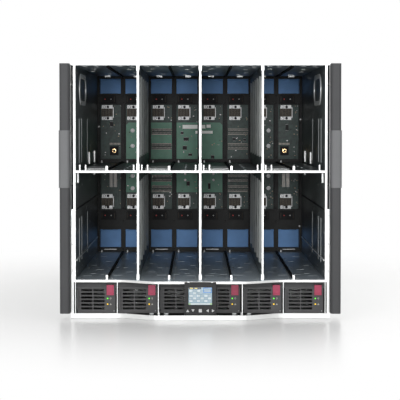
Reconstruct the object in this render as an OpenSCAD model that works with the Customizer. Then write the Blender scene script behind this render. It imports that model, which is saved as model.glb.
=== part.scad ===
// Ten-unit blade server chassis: sixteen half-height device bays over six power supplies.
// X runs across the rack, Y from the front to the rear, Z up. The origin is at the bottom, in the
// middle of the overall width and depth. All lengths are in millimetres.

/* [Device bays] */
// Distance between neighbouring device bays
bay_pitch = 53.75; // [52:0.25:55]
// Clear height of the lower row of bays
lower_bay_h = 185; // [182:0.5:190]
// Clear height of the upper row of bays
upper_bay_h = 181.5; // [180:0.5:190]
// Depth from the front edge to the face of the midplane frame
bay_d = 499; // [480:1:520]
// Height of a shelf's front flange
shelf_h = 3.5; // [3:0.1:5]
// Thickness of a bay divider's sheet
divider_t = 1.6; // [1.2:0.1:2.4]
// Height of the black blade guides
guide_h = 3; // [2:0.5:4]
// Width of the black blade guides
guide_w = 4; // [3:0.5:6]

/* [Sheet metal] */
// Thickness of the sheet steel
sheet_t = 1.2; // [1:0.1:1.5]
// Thickness of the base plate
base_t = 1.5; // [1.2:0.1:2]
// Width of each side wall, skin to liner
side_wall_w = 8.5; // [7:0.5:12]
// Depth of the sheet-metal body
chassis_d = 771; // [750:1:790]
// Height of the hollow roof
roof_h = 6; // [5:0.5:10]
// Height at which the side air slots start
air_slot_z = 188; // [150:1:220]
// Height of the base plate's front lip
base_lip_h = 8; // [6:0.5:8.3]
// Drop of the device bay floor's front lip
floor_lip_drop = 4; // [3:0.1:4.2]
// How far both lips bow forward in the middle
front_bow = 26; // [22:1:34]

/* [Rack ears] */
// Width over the rack ears
rack_w = 482.6; // [481:0.1:484]
// Thickness of the rack ears
ear_t = 2; // [1.5:0.5:3]
// Distance between the left and right mounting holes
ear_hole_dx = 465.1; // [464:0.1:466]
// Distance between the lower and upper mounting holes, seven rack units
ear_hole_dz = 311.15; // [266.7:44.45:355.6]
// Height of the lower mounting holes
ear_hole_z = 65.4; // [60:0.1:80]
// Radius of the mounting holes
ear_hole_r = 3.5; // [3:0.1:3.5]
// How far the rack bezels stand in front of the ears
bezel_d = 26; // [22:1:30]
// Width of a bezel
bezel_w = 18.6; // [16:0.1:20]
// Wall of the rack bezels
bezel_wall = 2.2; // [1.5:0.1:3]

/* [Power supplies] */
// Height of a power supply
psu_h = 52; // [50:0.5:54]
// Length of a power supply's steel case
psu_d = 440; // [400:5:445]
// Space between a power supply and the sheet on each side
psu_gap = 0.6; // [0.4:0.1:1]
// Depth of a power supply's moulded front
psu_front_d = 9; // [8:0.5:12]
// Wall of a power supply's steel case
psu_wall = 1; // [0.8:0.1:1.5]
// Width of one air slot in a power supply's front
slot_w = 19; // [16:0.5:20]
// Height of one air slot
slot_h = 3.7; // [3:0.1:4.2]
// Distance between the rows of air slots
slot_pitch = 6.3; // [6:0.1:6.4]
// Width of a release latch
latch_w = 12.4; // [10:0.2:13]
// Height of a release latch
latch_h = 17.4; // [15:0.2:19]

/* [Display] */
// Width of the display head
head_w = 54; // [50:1:60]
// Thickness of the display head's front plate
head_t = 6.6; // [6:0.1:7]
// Width of the screen
screen_w = 40; // [36:0.5:42]
// Height of the screen
screen_h = 30; // [26:0.5:31]
// Radius of the tilt pin
tilt_pin_r = 1.2; // [1:0.1:1.5]
// How far the display's keys stand proud
key_proud = 0.8; // [0.5:0.1:1]

/* [Midplane] */
// Thickness of the moulded midplane frame
frame_t = 12; // [10:0.5:14]
// Width of the bars between the midplane windows
bar_w = 9.2; // [8:0.2:11]
// Height of an upper air door
upper_door_h = 31; // [28:0.5:33]
// Height of a lower air door
lower_door_h = 37.5; // [34:0.5:39]
// Thickness of an air door
door_t = 1.6; // [1.2:0.1:2]
// Radius of an air door's pins
door_pin_r = 1; // [0.8:0.1:1.2]
// Thickness of the midplane boards
board_t = 2.4; // [1.6:0.1:3]

/* [Rear modules] */
// Height of a fan bay
fan_bay_h = 104; // [100:0.5:106]
// Height of the administrator module bay
admin_bay_h = 33; // [30:0.5:36]
// Depth of a fan housing
fan_d = 116; // [100:1:130]
// Radius of a fan's air duct
fan_duct_r = 38; // [34:0.5:39]
// Space between the blade tips and the duct
fan_tip_gap = 1.2; // [0.8:0.1:2]
// Radius of a fan's hub
fan_hub_r = 17; // [14:0.5:20]
// Radius of a rotor's shaft
shaft_r = 2.5; // [2:0.1:3]
// How far the rear handles stand out
handle_proud = 8; // [6:0.5:12]
// Wall of the moulded blanks
blank_wall = 1.8; // [1.5:0.1:2.5]

/* [Hidden] */
$fn = 48;
eps = 0.01;
fit_gap = 0.3;
pin_gap = 0.05;
n_bays = 8;
n_zones = 4;
n_psu = 6;
n_fan_bays = 5;

// Widths
inner_w = n_bays * bay_pitch;
chassis_w = inner_w + 2 * side_wall_w;
skin_x = chassis_w / 2 - sheet_t;
zone_w = inner_w / n_zones;
psu_pitch = inner_w / n_psu;
fan_pitch = inner_w / n_fan_bays;
psu_w = psu_pitch - sheet_t - 2 * psu_gap;

// Heights
skid_h = 6.8;
psu_z = base_t + skid_h + 0.2;
floor_z = psu_z + psu_h + 4.3 + sheet_t;
shelf_z = floor_z + lower_bay_h;
shelf_top = shelf_z + shelf_h;
ceiling_z = shelf_top + upper_bay_h;
chassis_h = ceiling_z + roof_h;

// Depths, from the front edge of the chassis
frame_back = bay_d + frame_t;
board_y = frame_back + 4;
plenum_d = 60;
cage_y = frame_back + plenum_d;
head_y = -front_bow - fit_gap - head_t;
front_reach = -head_y + key_proud;
rear_reach = chassis_d + handle_proud;
row_y = -(rear_reach - front_reach) / 2;

// Midplane windows, from the ceiling down and from the floor up
crossbar_h = 5.2;
door_gap = 0.35;
upper_door_top = ceiling_z - crossbar_h;
upper_window_top = upper_door_top - upper_door_h - 2 * door_gap - 22.6;
lower_door_top = floor_z + crossbar_h + 4 + lower_door_h + 2 * door_gap;
lower_window_bottom = lower_door_top + 42.2;
mid_bar_top = shelf_top + 7;
mid_bar_bottom = shelf_z - 5;
window_w = bay_pitch - bar_w;
door_w = window_w - 2 * door_gap;
door_axis_y = bay_d + 6;
door_top_r = door_pin_r + 1;

connector_dx = -6.6;
upper_connector_z = upper_window_top - 17;
lower_connector_z = lower_window_bottom + 16.5;
signal_w = 24.4;
signal_h = 31;

// Rear rows
lower_fan_z = floor_z;
admin_z = lower_fan_z + fan_bay_h + sheet_t;
ic_z = admin_z + admin_bay_h + sheet_t;
upper_fan_z = ceiling_z - fan_bay_h;
ic_pitch = (upper_fan_z - sheet_t - ic_z) / 4;
fan_h = fan_bay_h - 0.6;
fan_w = fan_pitch - sheet_t - 0.8;
fan_tip_r = fan_duct_r - fan_tip_gap;
// Bays counted from +X, as seen from the rear, that hold fans; the others hold blanks
fan_columns = [3, 4, 5];
blank_columns = [1, 2];
hub_y = chassis_d - 22;
rotor_d = 40;
rotor_y = hub_y - 3 - rotor_d;

// Display
tilt_y = head_y + head_t / 2;
tilt_z = floor_z - floor_lip_drop + 0.3;
head_top = tilt_z + head_t / 2;
head_bottom = base_lip_h + 1.3;
head_body_back = tilt_y + 15.7;
carriage_front = -front_bow + sheet_t + 0.5;
carriage_t = 3.3;
arm_x = head_w / 2 - 7;
arm_w = 3;
arm_r = 2.3;
screen_z = (head_top + head_bottom) / 2 + 4.6;
key_z = head_bottom + 8;
key_r = 2.5;
// Keys: name, distance from the middle, direction that the arrow points, or -1 for the square key
keys = [["up", -21.5, 90], ["down", -12.5, 270], ["ok", 0, -1], ["left", 12.5, 180], ["right", 21.5, 0]];
key_y = [-0.5, 0.5, 0, 0, 0];

// ---- Shared outlines and shapes ----

function bay_x(i) = (i - (n_bays + 1) / 2) * bay_pitch;
function zone_x(k) = (k - (n_zones + 1) / 2) * zone_w;
function psu_x(i) = (i - (n_psu + 1) / 2) * psu_pitch;
function fan_x(c) = -(c - (n_fan_bays + 1) / 2) * fan_pitch;
function reversed(list) = [for (i = [len(list) - 1:-1:0]) list[i]];

// Front edge of both lips: straight at the sides, bowed forward over the two middle power supplies
bow_steps = 10;
function bow_y(share) = -front_bow * (1 - cos(180 * share)) / 2;
function bow_edge(half_w, back) = concat(
    [[-half_w, back]],
    [for (i = [0:bow_steps]) [-(2 - i / bow_steps) * psu_pitch, back + bow_y(i / bow_steps)]],
    [for (i = [0:bow_steps]) [(1 + i / bow_steps) * psu_pitch, back + bow_y(1 - i / bow_steps)]],
    [[half_w, back]]);

module bowed_plate(half_w, depth) {
    polygon(concat(bow_edge(half_w, 0), [[half_w, depth], [-half_w, depth]]));
}

module bowed_band(half_w, t) {
    polygon(concat(bow_edge(half_w, 0), reversed(bow_edge(half_w, t))));
}

// A box given by its lowest and highest corners
module block(low, high) {
    translate(low) cube(high - low);
}

// A rectangle with round corners, centred, made of true arcs
module rounded_rect(w, h, r) {
    square([w - 2 * r, h], center = true);
    square([w, h - 2 * r], center = true);
    for (sx = [-1, 1], sy = [-1, 1])
        translate([sx * (w / 2 - r), sy * (h / 2 - r)]) circle(r);
}

// A slot outline with round ends along its length
module obround(length, w) {
    square([length - w, w], center = true);
    for (s = [-1, 1]) translate([s * (length - w) / 2, 0]) circle(w / 2);
}

// Extrudes an outline drawn in X and Z along Y, from y0 to y1
module along_y(y0, y1) {
    translate([0, y1, 0]) rotate([90, 0, 0]) linear_extrude(y1 - y0) children();
}

// Extrudes an outline drawn in Y and Z along X, from x0 to x1
module along_x(x0, x1) {
    translate([x0, 0, 0]) rotate([90, 0, 90]) linear_extrude(x1 - x0) children();
}

// Moves the chassis, drawn from its front edge, to the row's origin
module placed() {
    translate([0, row_y, 0]) children();
}

// ---- Sheet-metal body ----

module base_pan() color("gainsboro") {
    linear_extrude(base_t) bowed_plate(chassis_w / 2, chassis_d);
    translate([0, 0, base_t - eps])
        linear_extrude(base_lip_h - base_t + eps) bowed_band(skin_x, sheet_t);
    // Stiffening channels under the power backplane and the rear modules
    for (y = [psu_d + 70, psu_d + 140])
        block([-inner_w / 2 + 20, y, base_t - eps], [inner_w / 2 - 20, y + 12, base_t + 3]);
}

module air_duct_tabs() {
    for (z = [air_slot_z + 40, 317, 400])
        block([skin_x - side_wall_w + sheet_t + 3, 0.5, z], [skin_x + eps, 3, z + 2.5]);
}

// Drawn on the +X side
module side_wall() {
    liner_x = inner_w / 2;
    hem_w = 3.6;
    // Outer skin
    block([skin_x, 0, base_t], [chassis_w / 2, chassis_d, chassis_h - sheet_t]);
    // Inner liner of the device bays, with its folded front hem
    block([liner_x, 0, floor_z], [liner_x + sheet_t, frame_back, ceiling_z]);
    block([liner_x, 0, floor_z], [liner_x + hem_w, 3, ceiling_z]);
    // Closed front below the air slot, and beside the power supplies
    block([liner_x, 0, floor_z], [skin_x + eps, 1.5, air_slot_z]);
    block([liner_x + sheet_t + 2, 0, base_lip_h], [skin_x + eps, 1.5, floor_z - floor_lip_drop]);
    // Spacer channels that hold the liner to the skin
    for (y = [170, 330, frame_back - 12])
        block([liner_x + sheet_t - eps, y, floor_z + 10], [skin_x + eps, y + 10, air_slot_z - 20]);
    air_duct_tabs();
    // Stamped oblong boss near the top front
    translate([liner_x - 1.4, 143, ceiling_z - 39]) rotate([90, 0, 90]) linear_extrude(1.4 + eps)
        difference() {
            obround(137, 56);
            obround(121, 40);
        }
    // Ledges where the lower panel of the liner overlaps, and hooks above and below the shelves
    for (z = [floor_z + 34, air_slot_z])
        block([liner_x - 1.4, 12, z - 2.4], [liner_x + eps, bay_d - 12, z]);
    for (y = [272, 402])
        block([liner_x - 2.4, y, shelf_top + 4], [liner_x + eps, y + 9, shelf_top + 26]);
    for (y = [34, 402])
        block([liner_x - 2.4, y, shelf_z - 19], [liner_x + eps, y + 7, shelf_z - 2]);
    // Stamped guide beads
    for (y = [70, 118, 240], z = [shelf_top + 12, floor_z + 24])
        translate([liner_x, y, z]) cylinder(h = 78, r = 0.9);
    // Rack ear with its mounting holes
    difference() {
        block([min(chassis_w / 2, rack_w / 2 - bezel_w) - eps, 0, 10], [rack_w / 2 - 0.4, ear_t, chassis_h - 4.5]);
        for (z = [ear_hole_z, ear_hole_z + ear_hole_dz])
            translate([ear_hole_dx / 2, -1, z]) rotate([-90, 0, 0]) cylinder(h = ear_t + 2, r = ear_hole_r);
    }
}

module left_side_wall() color("lightgray") mirror([1, 0, 0]) side_wall();

module right_side_wall() color("lightgray") side_wall();

module top_cover() color("gainsboro") {
    block([-chassis_w / 2, 0, chassis_h - sheet_t], [chassis_w / 2, chassis_d, chassis_h]);
    // Ceiling of the device bays, joined to the cover by a front flange and ribs
    block([-skin_x, 0, ceiling_z], [skin_x, frame_back, ceiling_z + sheet_t]);
    block([-skin_x, 0, ceiling_z], [skin_x, 1.5, chassis_h - sheet_t + eps]);
    for (k = [1:n_zones])
        block([zone_x(k) - 8, 20, ceiling_z + sheet_t - eps], [zone_x(k) + 8, frame_back - 20, chassis_h - sheet_t + eps]);
    // Ceiling of the rear cage
    block([-skin_x, cage_y, ceiling_z], [skin_x, chassis_d, ceiling_z + sheet_t]);
    block([-skin_x, chassis_d - 1.5, ceiling_z], [skin_x, chassis_d, chassis_h - sheet_t + eps]);
    // Upper blade guides
    for (k = [1:n_zones])
        block([zone_x(k) - guide_w / 2, 24, ceiling_z - guide_h], [zone_x(k) + guide_w / 2, bay_d - 16, ceiling_z + eps]);
}

// Small pins at the back of a bay that locate a blade
pin_from_bay_edge = 9.5;
locating_pin_h = 5;
module locating_pin(i, z) {
    translate([bay_x(i) - bay_pitch / 2 + pin_from_bay_edge, bay_d - 10, z - eps]) {
        cylinder(h = locating_pin_h - 1, r = 1.6);
        translate([0, 0, locating_pin_h - 1]) cylinder(h = 1 + eps, r1 = 1.6, r2 = 0.8);
    }
}

// The tab that stands at the front between two neighbouring bays
module bay_post(k, z) {
    block([zone_x(k) - 1.75, 2, z - eps], [zone_x(k) + 1.75, 5, z + 8]);
}

module device_bay_floor() color("silver") {
    translate([0, 0, floor_z - sheet_t]) linear_extrude(sheet_t) bowed_plate(skin_x, cage_y);
    translate([0, 0, floor_z - floor_lip_drop])
        linear_extrude(floor_lip_drop - sheet_t + eps) bowed_band(skin_x, sheet_t);
    for (k = [1:n_zones]) {
        block([zone_x(k) - guide_w / 2, 24, floor_z - eps], [zone_x(k) + guide_w / 2, bay_d - 16, floor_z + guide_h]);
        bay_post(k, floor_z);
    }
    for (i = [1:n_bays]) locating_pin(i, floor_z);
}

// ---- Dividers and shelves ----

panel_y = 22;
panel_back_margin = 17;
panel_top_margin = 18;
panel_bottom_margin = 24;
flutes = 5;
flute_pitch = (bay_d - panel_y - panel_back_margin) / flutes;
flute_rise = 2.2;
flute_t = 1;
flute_r = (pow(flute_pitch / 4, 2) + pow(flute_rise, 2)) / (2 * flute_rise);

// Half a flute: the part of a ring that stands to one side of the sheet's middle line
module half_flute(side) {
    intersection() {
        translate([side * (flute_rise - flute_r), flute_pitch / 4]) difference() {
            circle(flute_r + flute_t / 2, $fn = 180);
            circle(flute_r - flute_t / 2, $fn = 180);
        }
        translate([side > 0 ? -flute_rise : -2 * flute_rise, 0])
            square([3 * flute_rise, flute_pitch / 2 + eps]);
    }
}

// A sheet of vertical flutes, drawn from its lower front corner
module fluted_panel(h) {
    linear_extrude(h) for (n = [0:flutes - 1]) translate([0, n * flute_pitch]) {
        half_flute(1);
        translate([0, flute_pitch / 2]) half_flute(-1);
    }
}

module divider() {
    hem = 3;
    panel_d = flutes * flute_pitch;
    rows = [[floor_z, shelf_z], [shelf_top, ceiling_z]];
    difference() {
        block([-divider_t / 2, 0, floor_z], [divider_t / 2, bay_d, ceiling_z]);
        for (r = rows)
            block([-divider_t, panel_y + 2, r[0] + panel_bottom_margin], [divider_t, panel_y + panel_d - 2, r[1] - panel_top_margin]);
    }
    for (r = rows)
        translate([0, panel_y, r[0] + panel_bottom_margin - 2])
            fluted_panel(r[1] - r[0] - panel_bottom_margin - panel_top_margin + 4);
    // Folded front hem
    block([-hem / 2, 0, floor_z], [hem / 2, 4, ceiling_z]);
}

module bay_dividers() color("whitesmoke") {
    for (k = [1:n_zones - 1]) translate([(zone_x(k) + zone_x(k + 1)) / 2, 0, 0]) divider();
}

module shelf(k) {
    hem = 3;
    left = zone_x(k) - zone_w / 2 + (k == 1 ? fit_gap : hem / 2 + fit_gap);
    right = zone_x(k) + zone_w / 2 - (k == n_zones ? fit_gap : hem / 2 + fit_gap);
    difference() {
        block([left, 0, shelf_top - sheet_t], [right, bay_d - 0.5, shelf_top]);
        // Slots in the right-hand half
        for (y = [60, 150, 240, 330])
            translate([zone_x(k) + bay_pitch / 2, y, shelf_top - 2 * sheet_t])
                linear_extrude(3 * sheet_t) rotate(90) obround(40, 9);
    }
    // Front flange, side flanges and the rib between the two bays
    block([left, 0, shelf_z], [right, 1.5, shelf_top]);
    for (x = [left, right - sheet_t])
        block([x, 0, shelf_z], [x + sheet_t, bay_d - 0.5, shelf_top]);
    block([zone_x(k) - guide_w / 2, 24, shelf_z], [zone_x(k) + guide_w / 2, bay_d - 16, shelf_top + guide_h]);
    // Raised wear plate in the left-hand half
    block([left + 12, 72, shelf_top - eps], [zone_x(k) - guide_w / 2 - 1, 238, shelf_top + 0.6]);
    bay_post(k, shelf_top);
    for (i = [2 * k - 1, 2 * k]) locating_pin(i, shelf_top);
}

module bay_shelves() color("silver") {
    for (k = [1:n_zones]) shelf(k);
}

// ---- Midplane ----

module midplane_window(z0, z1, w) {
    block([-w / 2, bay_d - 1, z0], [w / 2, frame_back + 1, z1]);
}

module midplane_frame() color("dimgray") difference() {
    block([-inner_w / 2, bay_d, floor_z], [inner_w / 2, frame_back, ceiling_z]);
    for (i = [1:n_bays]) translate([bay_x(i), 0, 0]) {
        midplane_window(upper_door_top - upper_door_h - 2 * door_gap, upper_door_top, window_w);
        midplane_window(mid_bar_top, upper_window_top, window_w);
        midplane_window(lower_window_bottom, mid_bar_bottom, window_w);
        midplane_window(lower_door_top - lower_door_h - 2 * door_gap, lower_door_top, window_w);
        // Bearings of the air doors' pins
        for (z = [upper_door_top, lower_door_top], s = [-1, 1])
            translate([s * window_w / 2, door_axis_y, z - door_gap - door_top_r]) rotate([0, s * 90, 0])
                translate([0, 0, -1]) cylinder(h = 4, r = door_pin_r + pin_gap);
        // Shallow step round the windows, in front of the boards
        for (z = [[mid_bar_top - 3, upper_window_top + 3], [lower_window_bottom - 3, mid_bar_bottom + 3]])
            block([-window_w / 2 - 2, bay_d - 1, z[0]], [window_w / 2 + 2, bay_d + 3, z[1]]);
    }
}

module air_door(i, top, h) color("royalblue") {
    axis_z = top - door_gap - door_top_r;
    pin_l = 2.5;
    translate([bay_x(i), door_axis_y, axis_z]) {
        block([-door_w / 2, -door_t / 2, -(h - door_top_r)], [door_w / 2, door_t / 2, 0]);
        translate([-door_w / 2, 0, 0]) rotate([0, 90, 0]) cylinder(h = door_w, r = door_top_r);
        translate([-door_w / 2 - pin_l, 0, 0]) rotate([0, 90, 0]) cylinder(h = door_w + 2 * pin_l, r = door_pin_r);
        // Stiffening ribs on the rear face
        for (x = [-door_w / 4, door_w / 4])
            block([x - 0.8, door_t / 2 - eps, -(h - door_top_r)], [x + 0.8, door_t / 2 + 1.6, -door_top_r]);
    }
}

// The centre board is bright green and stands in front of the main board
centre_board_x = [-155.4, 48];
module signal_midplane() color("darkgreen") {
    z0 = lower_window_bottom - 8;
    z1 = upper_window_top + 8;
    block([-inner_w / 2 + 1, board_y, z0], [inner_w / 2 - 1, board_y + board_t, z1]);
    // Spacers between the frame and the main board
    for (i = [0:n_bays], z = [z0 + 4, z1 - 4])
        translate([(i - n_bays / 2) * bay_pitch + (i == 0 ? 4 : i == n_bays ? -4 : 0), frame_back, z])
            rotate([-90, 0, 0]) cylinder(h = board_y - frame_back + eps, r = 2.5);
    // Centre board with chamfered upper corners
    chamfer = 5;
    top = upper_connector_z - 21;
    along_y(frame_back + fit_gap, board_y + eps) polygon([
        [centre_board_x[0], shelf_z - 60], [centre_board_x[1], shelf_z - 60],
        [centre_board_x[1], top - chamfer], [centre_board_x[1] - chamfer, top],
        [centre_board_x[0] + chamfer, top], [centre_board_x[0], top - chamfer]]);
}

module signal_connector() {
    cell = 2.2;
    block([-signal_w / 2, bay_d + 1, -9], [signal_w / 2, board_y - 4, 9]);
    // Pin field, cut as columns of slots
    difference() {
        block([-signal_w / 2, bay_d - 1, -8.6], [signal_w / 2, bay_d + 1 + eps, 8.6]);
        for (c = [0:6])
            block([-signal_w / 2 + 1.6 + c * 3.2, bay_d - 2, -7.6], [-signal_w / 2 + 1.6 + c * 3.2 + cell / 1.3, bay_d + 0.4, 7.6]);
    }
    // Guide blocks above and below the pin field, with their guide holes
    for (s = [-1, 1]) difference() {
        block([-signal_w / 2 + 1, bay_d + 0.5, s * (signal_h / 2 - 3.6) - 3.6], [signal_w / 2 - 1, board_y - 4, s * (signal_h / 2 - 3.6) + 3.6]);
        for (x = [-6, 1.5])
            translate([x, bay_d, s * (signal_h / 2 - 3.6)]) rotate([-90, 0, 0]) cylinder(h = 6, r = 2);
    }
    // Upright guide beside the pin field, and the legs to the board
    block([signal_w / 2 + eps - 0.02, bay_d + 1, -11], [signal_w / 2 + 1.6, board_y - 4, 11]);
    block([-signal_w / 2 + 2, board_y - 4 - eps, -10], [signal_w / 2 - 2, board_y - 0.1, 10]);
}

// Power connectors stand on the black band beside the air doors
power_w = 32;
power_h = 18;
module power_connector() {
    along_y(bay_d - 7, bay_d) difference() {
        union() {
            translate([0, -power_h / 4]) square([power_w, power_h / 2], center = true);
            rounded_rect(power_w, power_h, 4);
        }
        for (x = [-6.5, 6]) translate([x, 0]) circle(3.6);
    }
    for (x = [-6.5, 6]) translate([x, bay_d - 5.5, 0]) rotate([-90, 0, 0]) cylinder(h = 5.5, r = 1.6);
}

power_dx = -4;
power_up = upper_window_top + 11;
power_low = lower_window_bottom - 12.5;
module blade_connectors() color("darkkhaki") {
    for (i = [1:n_bays]) {
        for (z = [upper_connector_z, lower_connector_z])
            translate([bay_x(i) + connector_dx, 0, z]) signal_connector();
        translate([bay_x(i) + power_dx, 0, power_up]) power_connector();
        translate([bay_x(i) + power_dx, 0, power_low]) power_connector();
    }
}

// ---- Power supplies ----

plug_w = 36;
plug_h = 16;
plug_z = 20;
plug_d = 14;
socket_d = 16;
module power_supply_cage() color("lightgray") {
    back = psu_front_d + psu_d + plug_d + 8;
    top = floor_z - sheet_t;
    for (k = [1 - n_psu / 2:n_psu / 2 - 1])
        block([k * psu_pitch - sheet_t / 2, abs(k) == 1 ? -front_bow + sheet_t + fit_gap : sheet_t + fit_gap, base_t],
              [k * psu_pitch + sheet_t / 2, back - fit_gap, top]);
    for (s = [-1, 1])
        block([s * inner_w / 2 - (s > 0 ? 0 : sheet_t), sheet_t + fit_gap, base_t],
              [s * inner_w / 2 + (s > 0 ? sheet_t : 0), back - fit_gap, top]);
    // Skids under each power supply
    for (i = [1:n_psu], s = [-1, 1])
        block([psu_x(i) + s * psu_w / 3 - 3.5, 8, base_t], [psu_x(i) + s * psu_w / 3 + 3.5, back - fit_gap, base_t + skid_h]);
    // Power backplane with one socket for each supply
    block([-inner_w / 2, back, base_t], [inner_w / 2, back + 3, top]);
    for (i = [1:n_psu]) translate([psu_x(i), 0, psu_z + plug_z]) difference() {
        block([-plug_w / 2 - 4, back - socket_d, -plug_h / 2 - 3], [plug_w / 2 + 4, back + eps, plug_h / 2 + 3]);
        block([-plug_w / 2 - fit_gap, back - socket_d - 1, -plug_h / 2 - fit_gap],
              [plug_w / 2 + fit_gap, back - 2, plug_h / 2 + fit_gap]);
    }
}

// Places inside a power supply's front, from its left edge and its bottom
grille_x = 8.4;
grille_z = 8.2;
grille_rows = 6;
bevel_h = 7.5;
bevel_d = 5;
latch_right = 4.6;
latch_z = psu_h - latch_h - 3.4;
latch_top_gap = 1;
latch_axis_z = latch_z + 2;
latch_axis_y = 4.5;
function latch_x(i) = psu_x(i) + psu_w / 2 - latch_right - latch_w / 2;

module psu_front_profile() {
    polygon([[0, 0], [psu_front_d, 0], [psu_front_d, psu_h], [bevel_d, psu_h], [0, psu_h - bevel_h]]);
}

module power_supply(i) color("dimgray") {
    face = 2.6;
    translate([psu_x(i), 0, psu_z]) {
        difference() {
            along_x(-psu_w / 2, psu_w / 2) psu_front_profile();
            // Hollow behind the face, open to the case
            block([-psu_w / 2 + 2, face, 2], [psu_w / 2 - 2, psu_front_d + 1, psu_h - bevel_h - 2]);
            for (r = [0:grille_rows - 1], c = [0, 1])
                block([-psu_w / 2 + grille_x + c * (slot_w + 2.2), -1, grille_z + r * slot_pitch - slot_h / 2],
                      [-psu_w / 2 + grille_x + c * (slot_w + 2.2) + slot_w, face + 1, grille_z + r * slot_pitch + slot_h / 2]);
            // Latch pocket
            block([latch_x(i) - psu_x(i) - latch_w / 2 - fit_gap, -1, latch_z - fit_gap],
                  [latch_x(i) - psu_x(i) + latch_w / 2 + fit_gap, psu_front_d + 1, latch_z + latch_h + latch_top_gap]);
            // Bearings of the latch pin
            translate([latch_x(i) - psu_x(i) - latch_w / 2 - 2.5, latch_axis_y, latch_axis_z])
                rotate([0, 90, 0]) cylinder(h = latch_w + 5, r = 0.8 + pin_gap);
        }
        // Cheeks of the latch pocket
        difference() {
            for (s = [-1, 1])
                block([latch_x(i) - psu_x(i) + s * (latch_w / 2 + fit_gap + 1) - 1, face - eps, latch_z - 2],
                      [latch_x(i) - psu_x(i) + s * (latch_w / 2 + fit_gap + 1) + 1, psu_front_d, psu_h - bevel_h - 2 + eps]);
            translate([latch_x(i) - psu_x(i) - latch_w / 2 - 2.5, latch_axis_y, latch_axis_z])
                rotate([0, 90, 0]) cylinder(h = latch_w + 5, r = 0.8 + pin_gap);
        }
        // Steel case, closed at the back by its connector face
        difference() {
            block([-psu_w / 2, psu_front_d - eps, 0], [psu_w / 2, psu_front_d + psu_d, psu_h]);
            block([-psu_w / 2 + psu_wall, psu_front_d - 1, psu_wall], [psu_w / 2 - psu_wall, psu_front_d + psu_d - psu_wall, psu_h - psu_wall]);
        }
        block([-plug_w / 2, psu_front_d + psu_d - eps, plug_z - plug_h / 2],
              [plug_w / 2, psu_front_d + psu_d + plug_d, plug_z + plug_h / 2]);
        // Grip at the left edge
        block([-psu_w / 2 + 1, -4, 8], [-psu_w / 2 + 4, eps, psu_h - 12]);
        // Light pipes of the two status lamps
        for (z = [15.6, 25.4])
            translate([latch_x(i) - psu_x(i) - 4.5, -0.5, z]) rotate([-90, 0, 0]) cylinder(h = 1, r = 1.3);
    }
}

module release_latch(i) color("mediumvioletred") {
    translate([latch_x(i), 0, psu_z]) {
        block([-latch_w / 2, -0.6, latch_z], [latch_w / 2, 2.4, latch_z + latch_h]);
        // Thumb ledge at the bottom of the pad
        block([-latch_w / 2, -1.8, latch_z], [latch_w / 2, -0.6 + eps, latch_z + 2.4]);
        translate([-latch_w / 2 - 2.2, latch_axis_y, latch_axis_z]) rotate([0, 90, 0]) cylinder(h = latch_w + 4.4, r = 0.8);
        block([-3, 2.4 - eps, latch_axis_z - 1.4], [3, latch_axis_y + 1.2, latch_axis_z + 1.4]);
    }
}

// ---- Display ----

module display_carriage() color("black") {
    side = 3.5;
    bottom = base_t + fit_gap;
    top = floor_z - sheet_t - fit_gap;
    body_gap = 0.6;
    difference() {
        block([-head_w / 2, carriage_front, bottom], [head_w / 2, carriage_front + carriage_t, top]);
        block([-head_w / 2 + side, carriage_front - 1, head_bottom + 0.4], [head_w / 2 - side, carriage_front + carriage_t + 1, tilt_z - 3.6]);
    }
    // Arms that carry the tilt pin in front of the lip
    for (s = [-1, 1]) difference() {
        along_x(s * arm_x - arm_w / 2, s * arm_x + arm_w / 2) union() {
            translate([tilt_y, tilt_z]) circle(arm_r);
            translate([tilt_y, tilt_z - 4.2]) square([carriage_front - tilt_y + eps, 3.6]);
        }
        translate([s * arm_x - arm_w, tilt_y, tilt_z]) rotate([0, 90, 0]) cylinder(h = 2 * arm_w, r = tilt_pin_r + pin_gap);
        // Clears the floor's front lip
        block([s * arm_x - arm_w, -front_bow - fit_gap, floor_z - floor_lip_drop - fit_gap],
              [s * arm_x + arm_w, carriage_front + 1, floor_z]);
    }
}

module key_outline(k, r) {
    if (k[2] < 0) rounded_rect(2.1 * r, 2.1 * r, 0.6);
    else rotate(k[2]) polygon([[r, 0], [-0.7 * r, r], [-0.7 * r, -r]]);
}

module display_head() color("dimgray") difference() {
    union() {
        // Front plate, round at its upper and lower edges
        along_x(-head_w / 2, head_w / 2) translate([tilt_y, (head_top + head_bottom) / 2])
            rounded_rect(head_t, head_top - head_bottom, head_t / 2 - 0.1);
        // Body that reaches back through the carriage
        block([-head_w / 2 + 4.3, tilt_y, head_bottom + 3.8], [head_w / 2 - 4.3, head_body_back, tilt_z - 4.6]);
    }
    // Slots for the carriage's arms
    for (s = [-1, 1])
        block([s * arm_x - arm_w / 2 - fit_gap, tilt_y - arm_r - fit_gap, tilt_z - 5],
              [s * arm_x + arm_w / 2 + fit_gap, head_body_back + 1, head_top + 1]);
    // Screen recess and the holes of the keys
    block([-screen_w / 2 - 0.1, head_y - 1, screen_z - screen_h / 2 - 0.1], [screen_w / 2 + 0.1, head_y + 1.6, screen_z + screen_h / 2 + 0.1]);
    for (n = [0:len(keys) - 1])
        translate([keys[n][1], 0, key_z + key_y[n]]) along_y(head_y - 1, head_y + 4.4) key_outline(keys[n], key_r + 0.35);
}

// The pin that the head turns on is pressed into it
module tilt_pin() color("silver") {
    for (s = [-1, 1])
        translate([s * arm_x - arm_w / 2 - fit_gap - 1, tilt_y, tilt_z]) rotate([0, 90, 0])
            cylinder(h = arm_w + 2 * fit_gap + 2, r = tilt_pin_r);
}

module display_screen() color("lightsteelblue") {
    block([-screen_w / 2, head_y + 0.6, screen_z - screen_h / 2], [screen_w / 2, head_y + 1.6, screen_z + screen_h / 2]);
}

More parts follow.
